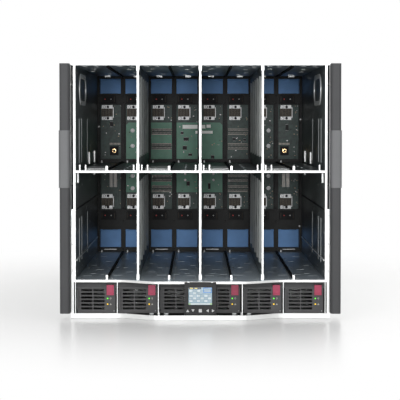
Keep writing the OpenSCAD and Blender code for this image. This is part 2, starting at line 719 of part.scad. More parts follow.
module display_key(n) color("white") {
    translate([keys[n][1], 0, key_z + key_y[n]]) along_y(head_y - key_proud, head_y + 3) key_outline(keys[n], key_r);
}

// ---- Rear cage and its modules ----

module rear_cage() color("silver") {
    y1 = chassis_d - 1.5;
    for (s = [-1, 1])
        block([s * inner_w / 2 - (s > 0 ? 0 : sheet_t), cage_y, floor_z], [s * inner_w / 2 + (s > 0 ? sheet_t : 0), y1, ceiling_z]);
    block([-skin_x, cage_y, floor_z - sheet_t], [skin_x, y1, floor_z]);
    for (z = [admin_z - sheet_t, ic_z - sheet_t, upper_fan_z - sheet_t])
        block([-inner_w / 2 - eps, cage_y, z], [inner_w / 2 + eps, y1, z + sheet_t]);
    // Partitions between the fan bays
    for (z = [lower_fan_z, upper_fan_z], k = [1:n_fan_bays - 1])
        block([(k - n_fan_bays / 2) * fan_pitch - sheet_t / 2, cage_y, z - eps],
              [(k - n_fan_bays / 2) * fan_pitch + sheet_t / 2, y1, z + fan_bay_h - (z == upper_fan_z ? 0 : -eps)]);
    // Partition and rails of the interconnect bays
    block([-sheet_t / 2, cage_y, ic_z - eps], [sheet_t / 2, y1, upper_fan_z - sheet_t + eps]);
    for (r = [1:3], s = [-1, 1])
        block([s * inner_w / 4 - inner_w / 4, cage_y + 40, ic_z + r * ic_pitch - 0.5], [s * inner_w / 4 + inner_w / 4, y1, ic_z + r * ic_pitch + 0.5]);
    // Rear flanges that close the side ducts
    for (s = [-1, 1])
        block([s > 0 ? inner_w / 2 : -skin_x, y1 - eps, floor_z - sheet_t], [s > 0 ? skin_x : -inner_w / 2, chassis_d, ceiling_z]);
}

module blank(w, h, vent_rows) {
    d = 24;
    difference() {
        block([-w / 2, chassis_d - d, -h / 2], [w / 2, chassis_d, h / 2]);
        block([-w / 2 + blank_wall, chassis_d - d - 1, -h / 2 + blank_wall], [w / 2 - blank_wall, chassis_d - blank_wall, h / 2 - blank_wall]);
        for (r = [1:vent_rows])
            translate([0, 0, (r - (vent_rows + 1) / 2) * 9]) block([-w / 2 + 18, chassis_d - 4, -1.5], [w / 2 - 18, chassis_d + 1, 1.5]);
    }
    // Pull tab
    for (s = [-1, 1])
        block([s * (w / 2 - 10) - 4, chassis_d - eps, -h / 2 + 7], [s * (w / 2 - 10) + 4, chassis_d + handle_proud - 2, -h / 2 + 10]);
}

module rear_blanks() color("gray") {
    ic_w = inner_w / 2 - sheet_t / 2 - 1;
    for (s = [-1, 1], r = [0:3])
        translate([s * (inner_w / 4 + sheet_t / 4), 0, ic_z + (r + 0.5) * ic_pitch]) blank(ic_w, ic_pitch - 1.4, 1);
    for (c = blank_columns, z = [lower_fan_z, upper_fan_z])
        translate([fan_x(c), 0, z + fan_bay_h / 2]) blank(fan_w, fan_h, 7);
}

// The space inside a module's steel case, open to the front
module module_cavity(w, d, h) {
    block([-w / 2 + sheet_t, chassis_d - d - 1, sheet_t], [w / 2 - sheet_t, chassis_d - 10, h - sheet_t]);
}

// A module with its ports and a pull lever
module administrator_module(w) {
    h = admin_bay_h - 1;
    d = 150;
    difference() {
        block([-w / 2, chassis_d - d, 0], [w / 2, chassis_d, h]);
        module_cavity(w, d, h);
        for (p = [[-w / 2 + 22, 16, 14], [-w / 2 + 44, 16, 14], [-w / 2 + 72, 31, 12]])
            block([p[0] - p[1] / 2, chassis_d - 9, h / 2 - p[2] / 2], [p[0] + p[1] / 2, chassis_d + 1, h / 2 + p[2] / 2]);
    }
    block([w / 2 - 30, chassis_d - eps, h / 2 - 3], [w / 2 - 6, chassis_d + handle_proud - 1, h / 2 + 3]);
}

link_w = 84;
link_d = 110;
module administrator_modules() color("gray") {
    side_w = (inner_w - link_w) / 2 - 2;
    for (s = [-1, 1])
        translate([s * (link_w + side_w + 2) / 2, 0, admin_z + 0.3]) administrator_module(side_w);
    translate([0, 0, admin_z + 0.3]) difference() {
        block([-link_w / 2, chassis_d - link_d, 0], [link_w / 2, chassis_d, admin_bay_h - 1]);
        module_cavity(link_w, link_d, admin_bay_h - 1);
        for (x = [-20, 0, 20]) block([x - 7, chassis_d - 9, 9], [x + 7, chassis_d + 1, 23]);
    }
}

// Six sockets for mains leads, each with three blades
inlet_module_d = 92;
inlet_d = 18;
inlet_blade_l = 14;
module power_input_module() color("darkgray") {
    z0 = base_t;
    z1 = floor_z - sheet_t;
    zc = (z0 + z1) / 2;
    difference() {
        block([-inner_w / 2, chassis_d - inlet_module_d, z0 + 4], [inner_w / 2, chassis_d, z1 - 2]);
        block([-inner_w / 2 + 2, chassis_d - inlet_module_d - 1, z0 + 6], [inner_w / 2 - 2, chassis_d - inlet_d - 2, z1 - 4]);
        for (i = [1:n_psu]) translate([psu_x(i), 0, zc])
            along_y(chassis_d - inlet_d, chassis_d + 1) rounded_rect(30, 24, 3);
    }
    for (i = [1:n_psu], p = [[-8, -3], [8, -3], [0, 5]])
        translate([psu_x(i) + p[0], chassis_d - inlet_d - eps, zc + p[1]]) block([-1, 0, -3.5], [1, inlet_blade_l, 3.5]);
    block([-inner_w / 2, chassis_d - inlet_module_d, z0], [inner_w / 2, chassis_d - inlet_module_d + 12, z0 + 4 + eps]);
    block([-inner_w / 2, chassis_d - 12, z0], [inner_w / 2, chassis_d - 1, z0 + 4 + eps]);
}

module fan_housing() {
    y0 = chassis_d - fan_d;
    difference() {
        block([-fan_w / 2, y0, -fan_h / 2], [fan_w / 2, chassis_d, fan_h / 2]);
        translate([0, y0 - 1, 0]) rotate([-90, 0, 0]) cylinder(h = fan_d + 2, r = fan_duct_r);
        // Hollow corners
        for (sx = [-1, 1], sz = [-1, 1])
            translate([sx * (fan_w / 2 - 8), y0 - 1, sz * (fan_h / 2 - 8)]) rotate([-90, 0, 0]) cylinder(h = fan_d - 4, r = 5.5);
    }
    // Rear stator: hub, vanes and the bearing of the rotor's shaft
    difference() {
        union() {
            translate([0, hub_y, 0]) rotate([-90, 0, 0]) cylinder(h = 18, r = fan_hub_r);
            intersection() {
                for (a = [0:36:324]) rotate([0, a, 0]) block([-0.9, hub_y + 2, fan_hub_r - 1], [0.9, hub_y + 18, fan_duct_r + 1]);
                translate([0, hub_y, 0]) rotate([-90, 0, 0]) cylinder(h = 20, r = fan_duct_r + 0.5);
            }
        }
        translate([0, hub_y - 1, 0]) rotate([-90, 0, 0]) cylinder(h = 13, r = shaft_r + pin_gap);
    }
    // Pull handle and catch
    block([-14, chassis_d - eps, -fan_h / 2 + 2], [14, chassis_d + handle_proud, -fan_h / 2 + 5.5]);
}

module fan_housings() color("darkslategray") {
    for (c = fan_columns, z = [lower_fan_z, upper_fan_z])
        translate([fan_x(c), 0, z + fan_bay_h / 2]) fan_housing();
}

// Curved blades on a hub; each blade is a strip of an arc, turned to its pitch
fan_blades = 7;
blade_r = 30;
blade_t = 1.4;
blade_half_angle = 35;
blade_pitch_angle = 36;
nose_h = 5;
shaft_out = 13;
module fan_blade() {
    root = fan_hub_r - 4.5;
    intersection() {
        translate([0, rotor_d / 2 - 3, 0]) rotate([0, 0, -blade_pitch_angle])
            translate([-blade_r * (1 + cos(blade_half_angle)) / 2, 0, root])
            linear_extrude(fan_tip_r - root + 2) difference() {
                circle(blade_r + blade_t / 2);
                circle(blade_r - blade_t / 2);
                translate([-2 * blade_r, -2 * blade_r])
                    square([2 * blade_r + blade_r * cos(blade_half_angle), 4 * blade_r]);
            }
        rotate([-90, 0, 0]) cylinder(h = rotor_d, r = fan_tip_r);
    }
}

module fan_rotor(c, z) color("dimgray") {
    translate([fan_x(c), rotor_y, z + fan_bay_h / 2]) {
        // Hub with its nose and shaft, in one turned profile
        rotate([-90, 0, 0]) rotate_extrude() polygon([
            [0, -nose_h], [fan_hub_r - 7, -nose_h], [fan_hub_r, 0], [fan_hub_r, rotor_d],
            [shaft_r, rotor_d], [shaft_r, rotor_d + shaft_out], [0, rotor_d + shaft_out]]);
        for (b = [0:fan_blades - 1]) rotate([0, b * 360 / fan_blades, 0]) fan_blade();
    }
}

// ---- Rack bezels ----

// Section across a bezel, drawn on the +X side: a channel with a rounded front, open at the back
bezel_step = 1.2;
module bezel_section(outer_x, front) {
    inner_x = rack_w / 2 - bezel_w;
    w = outer_x - inner_x;
    module outline(inset) {
        r = 5 - inset;
        translate([inner_x + inset, -front + inset + r]) square([w - 2 * inset, front - inset - r + (inset > 0 ? 1 : 0)]);
        translate([inner_x + inset + r, -front + inset]) square([w - 2 * inset - 2 * r, r + eps]);
        for (x = [inner_x + 5, outer_x - 5]) translate([x, -front + 5]) circle(r);
    }
    difference() {
        outline(0);
        outline(bezel_wall);
    }
}

module rack_bezel() {
    z0 = 10.8;
    z1 = chassis_h - 4;
    grip_z = [226, 324];
    inner_x = rack_w / 2 - bezel_w;
    outer_x = rack_w / 2 - bezel_step;
    for (span = [[z0, grip_z[0]], [grip_z[1], z1]])
        translate([0, 0, span[0]]) linear_extrude(span[1] - span[0]) bezel_section(outer_x, bezel_d - bezel_step);
    translate([0, 0, grip_z[0]]) linear_extrude(grip_z[1] - grip_z[0]) bezel_section(rack_w / 2, bezel_d);
    // End caps, and the caps of the wider middle part
    for (z = [z0, z1 - bezel_wall, grip_z[0] - 1, grip_z[1] - 1])
        block([inner_x, -bezel_d + 5, z], [outer_x - 0.5, -1, z + (z == z1 - bezel_wall || z == z0 ? bezel_wall : 2)]);
}

module left_rack_bezel() color("dimgray") mirror([1, 0, 0]) rack_bezel();

module right_rack_bezel() color("dimgray") rack_bezel();

// ---- Nodes ----

module show(name) {
    placed() children();
}

show("base_pan") base_pan();
show("left_side_wall") left_side_wall();
show("right_side_wall") right_side_wall();
show("top_cover") top_cover();
show("device_bay_floor") device_bay_floor();
show("bay_dividers") bay_dividers();
show("bay_shelves") bay_shelves();
show("midplane_frame") midplane_frame();
show("signal_midplane") signal_midplane();
show("blade_connectors") blade_connectors();
show("power_supply_cage") power_supply_cage();
show("rear_cage") rear_cage();
show("rear_blanks") rear_blanks();
show("administrator_modules") administrator_modules();
show("power_input_module") power_input_module();
show("left_rack_bezel") left_rack_bezel();
show("right_rack_bezel") right_rack_bezel();
show("fan_housings") fan_housings();
for (i = [1:n_psu]) {
    show(str("power_supply_", i)) power_supply(i);
    show(str("release_latch_", i)) release_latch(i);
}
show("display_carriage") display_carriage();
show("display_head") union() {
    display_head();
    tilt_pin();
}
show("display_screen") display_screen();
for (n = [0:len(keys) - 1]) show(str("display_key_", keys[n][0])) display_key(n);
for (i = [1:n_bays]) {
    show(str("upper_air_door_", i)) air_door(i, upper_door_top, upper_door_h);
    show(str("lower_air_door_", i)) air_door(i, lower_door_top, lower_door_h);
}
for (c = fan_columns) {
    show(str("upper_fan_rotor_", c)) fan_rotor(c, upper_fan_z);
    show(str("lower_fan_rotor_", c)) fan_rotor(c, lower_fan_z);
}
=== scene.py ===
"""Looks of the blade server chassis: materials, small details, light and camera around the CAD model."""
import math
import random

import bmesh
import bpy
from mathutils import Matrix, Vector


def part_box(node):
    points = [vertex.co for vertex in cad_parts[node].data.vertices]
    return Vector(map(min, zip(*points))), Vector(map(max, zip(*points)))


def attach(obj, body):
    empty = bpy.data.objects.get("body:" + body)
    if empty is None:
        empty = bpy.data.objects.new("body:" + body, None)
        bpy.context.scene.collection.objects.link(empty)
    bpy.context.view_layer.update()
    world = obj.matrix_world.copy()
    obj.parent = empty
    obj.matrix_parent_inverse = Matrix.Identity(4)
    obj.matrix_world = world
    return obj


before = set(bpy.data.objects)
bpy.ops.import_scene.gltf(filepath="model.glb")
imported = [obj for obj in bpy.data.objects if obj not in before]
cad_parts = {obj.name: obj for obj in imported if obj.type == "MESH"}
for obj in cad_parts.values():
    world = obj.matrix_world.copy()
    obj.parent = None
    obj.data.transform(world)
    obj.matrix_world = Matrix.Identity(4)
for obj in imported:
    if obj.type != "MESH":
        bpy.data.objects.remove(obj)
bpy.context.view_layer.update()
random.seed(11)

# ---------------------------------------------------------------- places, from the CAD model
# Pieces are placed in millimetres from the chassis's front edge, its middle and its underside.
FRONT_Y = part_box("bay_dividers")[0][1]
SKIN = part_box("top_cover")
HALF_W = SKIN[1][0] * 1000
HEIGHT = SKIN[1][2] * 1000
DEPTH = (SKIN[1][1] - FRONT_Y) * 1000
FLOOR_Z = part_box("bay_dividers")[0][2] * 1000
CEILING_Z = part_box("bay_dividers")[1][2] * 1000
SHELF_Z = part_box("bay_shelves")[0][2] * 1000
SHELF_TOP = SHELF_Z + 3.5
LINER_X = HALF_W - 8.5
FRAME_Y = (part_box("midplane_frame")[0][1] - FRONT_Y) * 1000
FRAME_BACK = (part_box("midplane_frame")[1][1] - FRONT_Y) * 1000
BAY = 2 * LINER_X / 8
ZONE = 2 * BAY
PSU_PITCH = 2 * LINER_X / 6


def mm(x, y, z):
    """A point in the row frame, in metres, from millimetres off the chassis's front edge."""
    return Vector((x / 1000, FRONT_Y + y / 1000, z / 1000))


def bay_x(i):
    return (i - 4.5) * BAY


def zone_x(k):
    return (k - 2.5) * ZONE


def psu_x(i):
    return (i - 3.5) * PSU_PITCH


def sorted_box(a, b):
    """The low and the high corner of the box between two points."""
    return tuple(map(min, a, b)), tuple(map(max, a, b))


# ---------------------------------------------------------------- materials
def new_material(name):
    mat = bpy.data.materials.new(name)
    mat.use_nodes = True
    tree = mat.node_tree
    tree.nodes.clear()
    out = tree.nodes.new("ShaderNodeOutputMaterial")
    shader = tree.nodes.new("ShaderNodeBsdfPrincipled")
    tree.links.new(shader.outputs["BSDF"], out.inputs["Surface"])
    return mat, tree, shader


def ramp(tree, source, stops):
    node = tree.nodes.new("ShaderNodeValToRGB")
    while len(node.color_ramp.elements) < len(stops):
        node.color_ramp.elements.new(0.5)
    for element, (place, colour) in zip(node.color_ramp.elements, stops):
        element.position = place
        element.color = (*colour, 1)
    tree.links.new(source, node.inputs["Fac"])
    return node.outputs["Color"]


def noise(tree, scale, detail=3.0, stretch=(1, 1, 1), rough=0.55):
    coord = tree.nodes.new("ShaderNodeTexCoord")
    mapping = tree.nodes.new("ShaderNodeMapping")
    mapping.inputs["Scale"].default_value = stretch
    node = tree.nodes.new("ShaderNodeTexNoise")
    node.inputs["Scale"].default_value = scale
    node.inputs["Detail"].default_value = detail
    node.inputs["Roughness"].default_value = rough
    tree.links.new(coord.outputs["Object"], mapping.inputs["Vector"])
    tree.links.new(mapping.outputs["Vector"], node.inputs["Vector"])
    return node.outputs["Fac"]


def scaled(colour, k):
    return tuple(min(1.0, c * k) for c in colour)


def surface(name, colour, metallic=0.0, rough=(0.4, 0.5), vary=0.12, scale=60.0, stretch=(1, 1, 1),
            bump=0.02, bump_scale=900.0, bump_stretch=(1, 1, 1), specular=0.5, coat=0.0):
    """A surface whose colour and roughness drift over it, with a fine grain in its relief."""
    mat, tree, shader = new_material(name)
    drift = noise(tree, scale, 4.0, stretch)
    shade = ramp(tree, drift, [(0.3, scaled(colour, 1 - vary)), (0.7, scaled(colour, 1 + vary))])
    tree.links.new(shade, shader.inputs["Base Color"])
    grain = noise(tree, bump_scale, 2.0, bump_stretch)
    spread = tree.nodes.new("ShaderNodeMapRange")
    spread.inputs["To Min"].default_value = rough[0]
    spread.inputs["To Max"].default_value = rough[1]
    tree.links.new(grain, spread.inputs["Value"])
    tree.links.new(spread.outputs["Result"], shader.inputs["Roughness"])
    relief = tree.nodes.new("ShaderNodeBump")
    relief.inputs["Strength"].default_value = bump
    relief.inputs["Distance"].default_value = 0.0004
    tree.links.new(grain, relief.inputs["Height"])
    tree.links.new(relief.outputs["Normal"], shader.inputs["Normal"])
    shader.inputs["Metallic"].default_value = metallic
    shader.inputs["Specular IOR Level"].default_value = specular
    shader.inputs["Coat Weight"].default_value = coat
    return mat


def light_surface(name, colour, strength):
    """A lamp's lens: it shines a little by itself."""
    mat, tree, shader = new_material(name)
    drift = noise(tree, 1500.0, 2.0)
    shade = ramp(tree, drift, [(0.3, scaled(colour, 0.8)), (0.7, colour)])
    tree.links.new(shade, shader.inputs["Base Color"])
    tree.links.new(shade, shader.inputs["Emission Color"])
    shader.inputs["Emission Strength"].default_value = strength
    shader.inputs["Roughness"].default_value = 0.2
    return mat


# The pitch and start of the fluted panels' painted sheen along the depth, in metres
FLUTE_PITCH = 0.092
FLUTE_START = 0.022


def painted_flute_sheen(name, phase):
    """The dividers' fluted panels: a painted sheen along the depth, pale stripes where light would catch the
    crests and dark stripes in the valleys between them.
    """
    mat, tree, shader = new_material(name)
    coord = tree.nodes.new("ShaderNodeTexCoord")
    split = tree.nodes.new("ShaderNodeSeparateXYZ")
    tree.links.new(coord.outputs["Object"], split.inputs["Vector"])
    turn = tree.nodes.new("ShaderNodeMath")
    turn.operation = "MULTIPLY_ADD"
    turn.inputs[1].default_value = 2 * math.pi / FLUTE_PITCH
    turn.inputs[2].default_value = phase - 2 * math.pi * (FRONT_Y + FLUTE_START) / FLUTE_PITCH
    tree.links.new(split.outputs["Y"], turn.inputs[0])
    sway = tree.nodes.new("ShaderNodeMath")
    sway.operation = "MULTIPLY_ADD"
    sway.inputs[1].default_value = 1.6
    tree.links.new(noise(tree, 22.0, 2.0), sway.inputs[0])
    tree.links.new(turn.outputs["Value"], sway.inputs[2])
    wave = tree.nodes.new("ShaderNodeMath")
    wave.operation = "COSINE"
    tree.links.new(sway.outputs["Value"], wave.inputs[0])
    level = tree.nodes.new("ShaderNodeMapRange")
    level.inputs["From Min"].default_value = -1.0
    tree.links.new(wave.outputs["Value"], level.inputs["Value"])
    shade = ramp(tree, level.outputs["Result"], [(0.16, (0.10, 0.11, 0.11)), (0.36, (0.93, 0.95, 0.93))])
    tree.links.new(shade, shader.inputs["Base Color"])
    relief = tree.nodes.new("ShaderNodeBump")
    relief.inputs["Strength"].default_value = 0.04
    relief.inputs["Distance"].default_value = 0.0004
    tree.links.new(noise(tree, 900.0, 2.0), relief.inputs["Height"])
    tree.links.new(relief.outputs["Normal"], shader.inputs["Normal"])
    shader.inputs["Roughness"].default_value = 0.48
    shader.inputs["Metallic"].default_value = 0.0
    return mat


M = {
    # Zinc-plated sheet in lit and shaded copies: a painted highlight on its folded front edges, painted shade
    # and a dark painted reflection where it lines the deep bays
    "edge": surface("zinc_edge", (0.84, 0.85, 0.84), 0.25, (0.28, 0.42), 0.03, 25, bump=0.03),
    "liner": surface("zinc_painted_shade", (0.155, 0.175, 0.178), 0.6, (0.34, 0.48), 0.22, 14, (1, 0.35, 1),
                     0.05, 260),
    # The bay floor's zinc: a lighter, bluish copy, painted light
    "bay_floor": surface("zinc_floor_painted_light", (0.52, 0.59, 0.65), 0.4, (0.26, 0.38), 0.18, 10, (1, 0.4, 1),
                         0.05, 200),
    # The ceiling's zinc: a lighter copy with a bluish painted reflection of the blue doors
    "ceiling": surface("zinc_ceiling_painted_reflection", (0.36, 0.43, 0.50), 0.6, (0.28, 0.4), 0.2, 12, (1, 0.4, 1), 0.05, 220),
    "skin": surface("zinc_skin", (0.56, 0.57, 0.56), 0.75, (0.34, 0.5), 0.07, 45, bump=0.05, bump_scale=500),
    # Painted sheen on the flutes: one copy for faces turned to +x, one shifted by half a pitch for faces
    # turned to -x
    "flute": painted_flute_sheen("zinc_flute_painted_sheen", 0.0),
    "flute_back": painted_flute_sheen("zinc_flute_back_painted_sheen", math.pi),
    # Painted shade: near black, for the duct gaps, slots and recesses
    "duct": surface("duct_dark", (0.012, 0.012, 0.013), 0.1, (0.5, 0.7), 0.2, 40),
    "cage": surface("zinc_cage", (0.42, 0.44, 0.44), 0.8, (0.3, 0.45), 0.12, 30),
    # Mouldings
    "frame": surface("black_frame", (0.014, 0.0145, 0.0145), 0.0, (0.5, 0.65), 0.25, 50, bump=0.12,
                     bump_scale=1600, specular=0.22),
    "guide": surface("black_guide", (0.012, 0.012, 0.013), 0.0, (0.55, 0.7), 0.2, 50, specular=0.15),
    "door": surface("blue_door", (0.15, 0.31, 0.60), 0.0, (0.5, 0.62), 0.10, 35, bump=0.08, bump_scale=1500,
                    specular=0.2),
    "bezel": surface("bezel_grey", (0.066, 0.067, 0.070), 0.0, (0.5, 0.62), 0.05, 20, bump=0.04,
                     bump_scale=1800, specular=0.25),
    "bezel_mid": surface("bezel_mid_grey", (0.165, 0.168, 0.173), 0.0, (0.45, 0.55), 0.05, 20, bump=0.04,
                         bump_scale=1800, specular=0.25),
    "psu": surface("psu_front", (0.080, 0.080, 0.082), 0.0, (0.5, 0.65), 0.07, 60, bump=0.10,
                   bump_scale=2000, specular=0.25),
    # Painted shade: near black, for the sideways faces within the supply fronts
    "psu_slot_shade": surface("psu_slot_painted_shade", (0.005, 0.005, 0.005), 0.0, (0.6, 0.8), 0.2, 40, specular=0.1),
    "case": surface("psu_case", (0.50, 0.51, 0.50), 0.85, (0.28, 0.4), 0.08, 50),
    "latch": surface("latch_magenta", (0.39, 0.034, 0.090), 0.0, (0.4, 0.5), 0.10, 120, bump=0.06,
                     bump_scale=2500, specular=0.35),
    "blank": surface("blank_grey", (0.16, 0.165, 0.17), 0.0, (0.4, 0.55), 0.08, 40, bump=0.12,
                     bump_scale=1800),
    "module": surface("module_steel", (0.44, 0.45, 0.45), 0.75, (0.3, 0.45), 0.08, 45),
    "fan": surface("fan_black", (0.020, 0.020, 0.021), 0.0, (0.35, 0.5), 0.2, 60, bump=0.08, bump_scale=1600),
    "rotor": surface("rotor_black", (0.028, 0.028, 0.030), 0.0, (0.25, 0.4), 0.2, 60, bump=0.05,
                     bump_scale=1600),
    "input": surface("input_steel", (0.13, 0.13, 0.135), 0.3, (0.4, 0.55), 0.1, 45),
    # Boards and connectors
    "board": surface("board_dark", (0.012, 0.034, 0.029), 0.0, (0.4, 0.55), 0.35, 130, bump=0.05,
                     bump_scale=600, specular=0.3),
    "board_bright": surface("board_green", (0.024, 0.150, 0.088), 0.0, (0.35, 0.5), 0.12, 70, bump=0.04,
                            bump_scale=500, specular=0.3),
    "core": surface("connector_core", (0.022, 0.016, 0.010), 0.0, (0.4, 0.55), 0.3, 300, bump=0.1,
                    specular=0.15),
    "silver": surface("bright_metal", (0.40, 0.405, 0.41), 0.6, (0.42, 0.55), 0.08, 80, specular=0.3),
    "gold": surface("gold_plate", (0.80, 0.56, 0.30), 0.9, (0.2, 0.3), 0.08, 200),
    "black": surface("black_plastic", (0.010, 0.010, 0.011), 0.0, (0.55, 0.7), 0.2, 80, bump=0.06,
                     bump_scale=1800, specular=0.15),
    "chip": surface("chip_black", (0.016, 0.017, 0.018), 0.0, (0.5, 0.6), 0.15, 200, specular=0.15),
    "label": surface("blank_label", (0.86, 0.87, 0.85), 0.0, (0.5, 0.6), 0.03, 80),
    "grey": surface("grey_plastic", (0.22, 0.22, 0.22), 0.0, (0.4, 0.5), 0.1, 80),
    "white": surface("white_mark", (0.80, 0.80, 0.80), 0.0, (0.45, 0.55), 0.04, 200),
    "key": surface("key_white", (0.62, 0.62, 0.62), 0.0, (0.4, 0.5), 0.05, 400, bump=0.03),
    "display": surface("display_black", (0.034, 0.034, 0.035), 0.0, (0.5, 0.62), 0.12, 90, bump=0.06,
                       bump_scale=2200, specular=0.22),
    "red": surface("red_dot", (0.45, 0.05, 0.04), 0.0, (0.4, 0.5), 0.1, 500),
    "mark": surface("pale_mark", (0.42, 0.41, 0.37), 0.0, (0.5, 0.6), 0.05, 200, specular=0.2),
    "pressed": surface("pressed_mark", (0.50, 0.54, 0.57), 0.5, (0.4, 0.5), 0.08, 150),
    "pin": surface("pin_row", (0.20, 0.185, 0.165), 0.4, (0.35, 0.5), 0.15, 400),
    "header": surface("header_dark", (0.026, 0.040, 0.036), 0.0, (0.45, 0.6), 0.2, 200, specular=0.25),
    "rib": surface("connector_rib", (0.055, 0.040, 0.020), 0.0, (0.4, 0.55), 0.3, 350, bump=0.08,
                   specular=0.3),
    "tan": surface("tan_part", (0.22, 0.17, 0.10), 0.0, (0.45, 0.6), 0.2, 500),
    "grip": surface("grip_grey", (0.06, 0.061, 0.064), 0.0, (0.45, 0.6), 0.1, 90, bump=0.08, bump_scale=1800,
                    specular=0.3),
    "green_lamp": light_surface("lamp_green", (0.12, 0.85, 0.05), 1.2),
    "amber_lamp": light_surface("lamp_amber", (0.95, 0.62, 0.03), 1.0),
    "screen": light_surface("screen_blue", (0.22, 0.34, 0.42), 0.12),
    "screen_pale": light_surface("screen_pale", (0.52, 0.60, 0.62), 0.12),
    "screen_dark": light_surface("screen_dark", (0.012, 0.02, 0.03), 0.05),
    "screen_tile": light_surface("screen_tile", (0.06, 0.20, 0.52), 0.12),
    "screen_line": light_surface("screen_line", (0.30, 0.40, 0.46), 0.12),
    "screen_green": light_surface("screen_green", (0.27, 0.48, 0.18), 0.12),
    "screen_yellow": light_surface("screen_yellow", (0.75, 0.60, 0.10), 0.4),
}


def paint(node, keys, rule=None):
    """Gives a CAD node its materials; rule picks one for each face from its middle, in mm, and normal."""
    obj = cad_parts[node]
    obj.data.materials.clear()
    for key in keys:
        obj.data.materials.append(M[key])
    if rule:
        for face in obj.data.polygons:
            c = face.center
            key = rule(c.x * 1000, (c.y - FRONT_Y) * 1000, c.z * 1000, face.normal)
            face.material_index = keys.index(key)


# The upper ledge of the side walls' liners, in millimetres, painted dark as the shade of its groove
UPPER_LEDGE = (186, 192)


# Side walls: the front edges and the parts proud of the liner take the painted highlight, the duct gap and
# the upper ledge take painted shade, the rest of the liner the painted shade of the deep bays
def wall_rule(x, y, z, n):
    ax = abs(x)
    if ax > HALF_W - 0.01 and y > 3:
        return "skin"
    if ax > HALF_W + 0.3:
        return "cage"
    if y < 3.2 and n.y < -0.5:
        return "duct" if ax > LINER_X + 3.7 and ax < HALF_W - 1.3 and z > 190 and y > 0.3 else "edge"
    if ax > LINER_X + 0.6 and ax < HALF_W - 0.3:
        return "duct"
    if ax <= LINER_X + 3.7 and y < 3.2 and abs(n.x) > 0.5:
        return "edge"
    if ax < LINER_X - 0.4:
        return "duct" if UPPER_LEDGE[0] < z < UPPER_LEDGE[1] else "edge"
    return "liner"


for wall in ("left_side_wall", "right_side_wall"):
    paint(wall, ["liner", "edge", "duct", "skin", "cage"], wall_rule)

# Top cover: the front flange takes the painted highlight, the ceiling its bluish painted reflection
paint("top_cover", ["skin", "edge", "ceiling", "guide"], lambda x, y, z, n: (
    "skin" if z > HEIGHT - 0.1 or y > FRAME_BACK + 1 else
    "edge" if y < 1.6 and n.y < -0.5 else
    "guide" if z < CEILING_Z - 0.3 else "ceiling"))


# Bay floor: the front lip and the raised posts and pins take the painted highlight
def floor_rule(x, y, z, n):
    near_zone = min(abs(x - zone_x(k)) for k in range(1, 5))
    if z > FLOOR_Z + 0.2:
        if near_zone < 2.2 and y > 20:
            return "guide"
        return "edge"
    if n.y < -0.3 and y < 2:
        return "edge"
    if z < FLOOR_Z - 0.5:
        return "cage"
    return "bay_floor"


paint("device_bay_floor", ["bay_floor", "edge", "guide", "cage"], floor_rule)
# Base pan: the front lip takes the painted highlight
paint("base_pan", ["skin", "edge"], lambda x, y, z, n: "edge" if n.y < -0.3 and y < 2 else "skin")


# Dividers: the front hems take the painted highlight, the fluted panels the painted sheen, the frame sheet
# the painted shade
def divider_rule(x, y, z, n):
    off = min(abs(x - k * ZONE) for k in (-1, 0, 1))
    if y < 4.2:
        return "edge"
    row = (FLOOR_Z, SHELF_Z) if z < SHELF_TOP else (SHELF_TOP, CEILING_Z)
    inside = 20 < y < 486 and row[0] + 21 < z < row[1] - 15
    if inside and (abs(off - 0.8) > 0.02 or abs(n.y) > 0.001):
        return "flute" if n.x > 0 else "flute_back"
    return "liner"


paint("bay_dividers", ["liner", "edge", "flute", "flute_back"], divider_rule)


# Shelves: the front flange and the raised parts take the painted highlight, the rest the painted shade
def shelf_rule(x, y, z, n):
    near_zone = min(abs(x - zone_x(k)) for k in range(1, 5))
    if y < 1.6:
        return "edge"
    if z > SHELF_TOP + 0.05:
        if near_zone < 2.2 and y > 20:
            return "guide"
        return "edge"
    if z < SHELF_TOP - 1 and near_zone < 2.2:
        return "guide"
    return "liner"


paint("bay_shelves", ["liner", "edge", "guide"], shelf_rule)
paint("midplane_frame", ["frame"])
paint("signal_midplane", ["board", "board_bright"], lambda x, y, z, n: (
    "board_bright" if -155.6 < x < 48.2 and y < FRAME_BACK + 4 and 190 < z < 340 else "board"))


def connector_rule(x, y, z, n):
    if y < FRAME_Y - 0.5 and (z > 370 or z < 158):
        return "black" if n.y > -0.99 or y < FRAME_Y - 6 else "silver"
    middle = 359.4 if z > 250 else 171.3
    height = abs(z - middle)
    if height > 8.7:
        return "silver"
    return "core"


paint("blade_connectors", ["black", "core", "silver"], connector_rule)
# The supply cage's front flange takes the painted highlight
paint("power_supply_cage", ["cage", "edge"], lambda x, y, z, n: "edge" if n.y < -0.9 and y < 3 else "cage")
paint("rear_cage", ["cage", "skin"], lambda x, y, z, n: "skin" if n.y > 0.9 and y > DEPTH - 2 else "cage")
paint("rear_blanks", ["blank"])
# The administrator modules' recess walls and the sockets' insides take painted shade
paint("administrator_modules", ["module", "duct"], lambda x, y, z, n: (
    "duct" if y < DEPTH - 0.2 and y > DEPTH - 9.5 and abs(n.y) < 0.5 and abs(z - 187.5) < 12 else "module"))
paint("power_input_module", ["input", "duct", "silver"], lambda x, y, z, n: (
    "silver" if y > DEPTH - 18.2 and y < DEPTH - 3.9 and abs(z - 33) < 9 and abs(n.y) < 0.99 and
    min(abs(x - psu_x(i) - d) for i in range(1, 7) for d in (-8, 0, 8)) < 1.1 else
    "duct" if y < DEPTH - 0.2 and y > DEPTH - 18.3 and 20 < z < 47 else "input"))
paint("fan_housings", ["fan"])
for row in ("upper", "lower"):
    for c in (3, 4, 5):
        paint(f"{row}_fan_rotor_{c}", ["rotor"])
    for i in range(1, 9):
        paint(f"{row}_air_door_{i}", ["door"])
BEZEL_SEAMS = (226, 324)
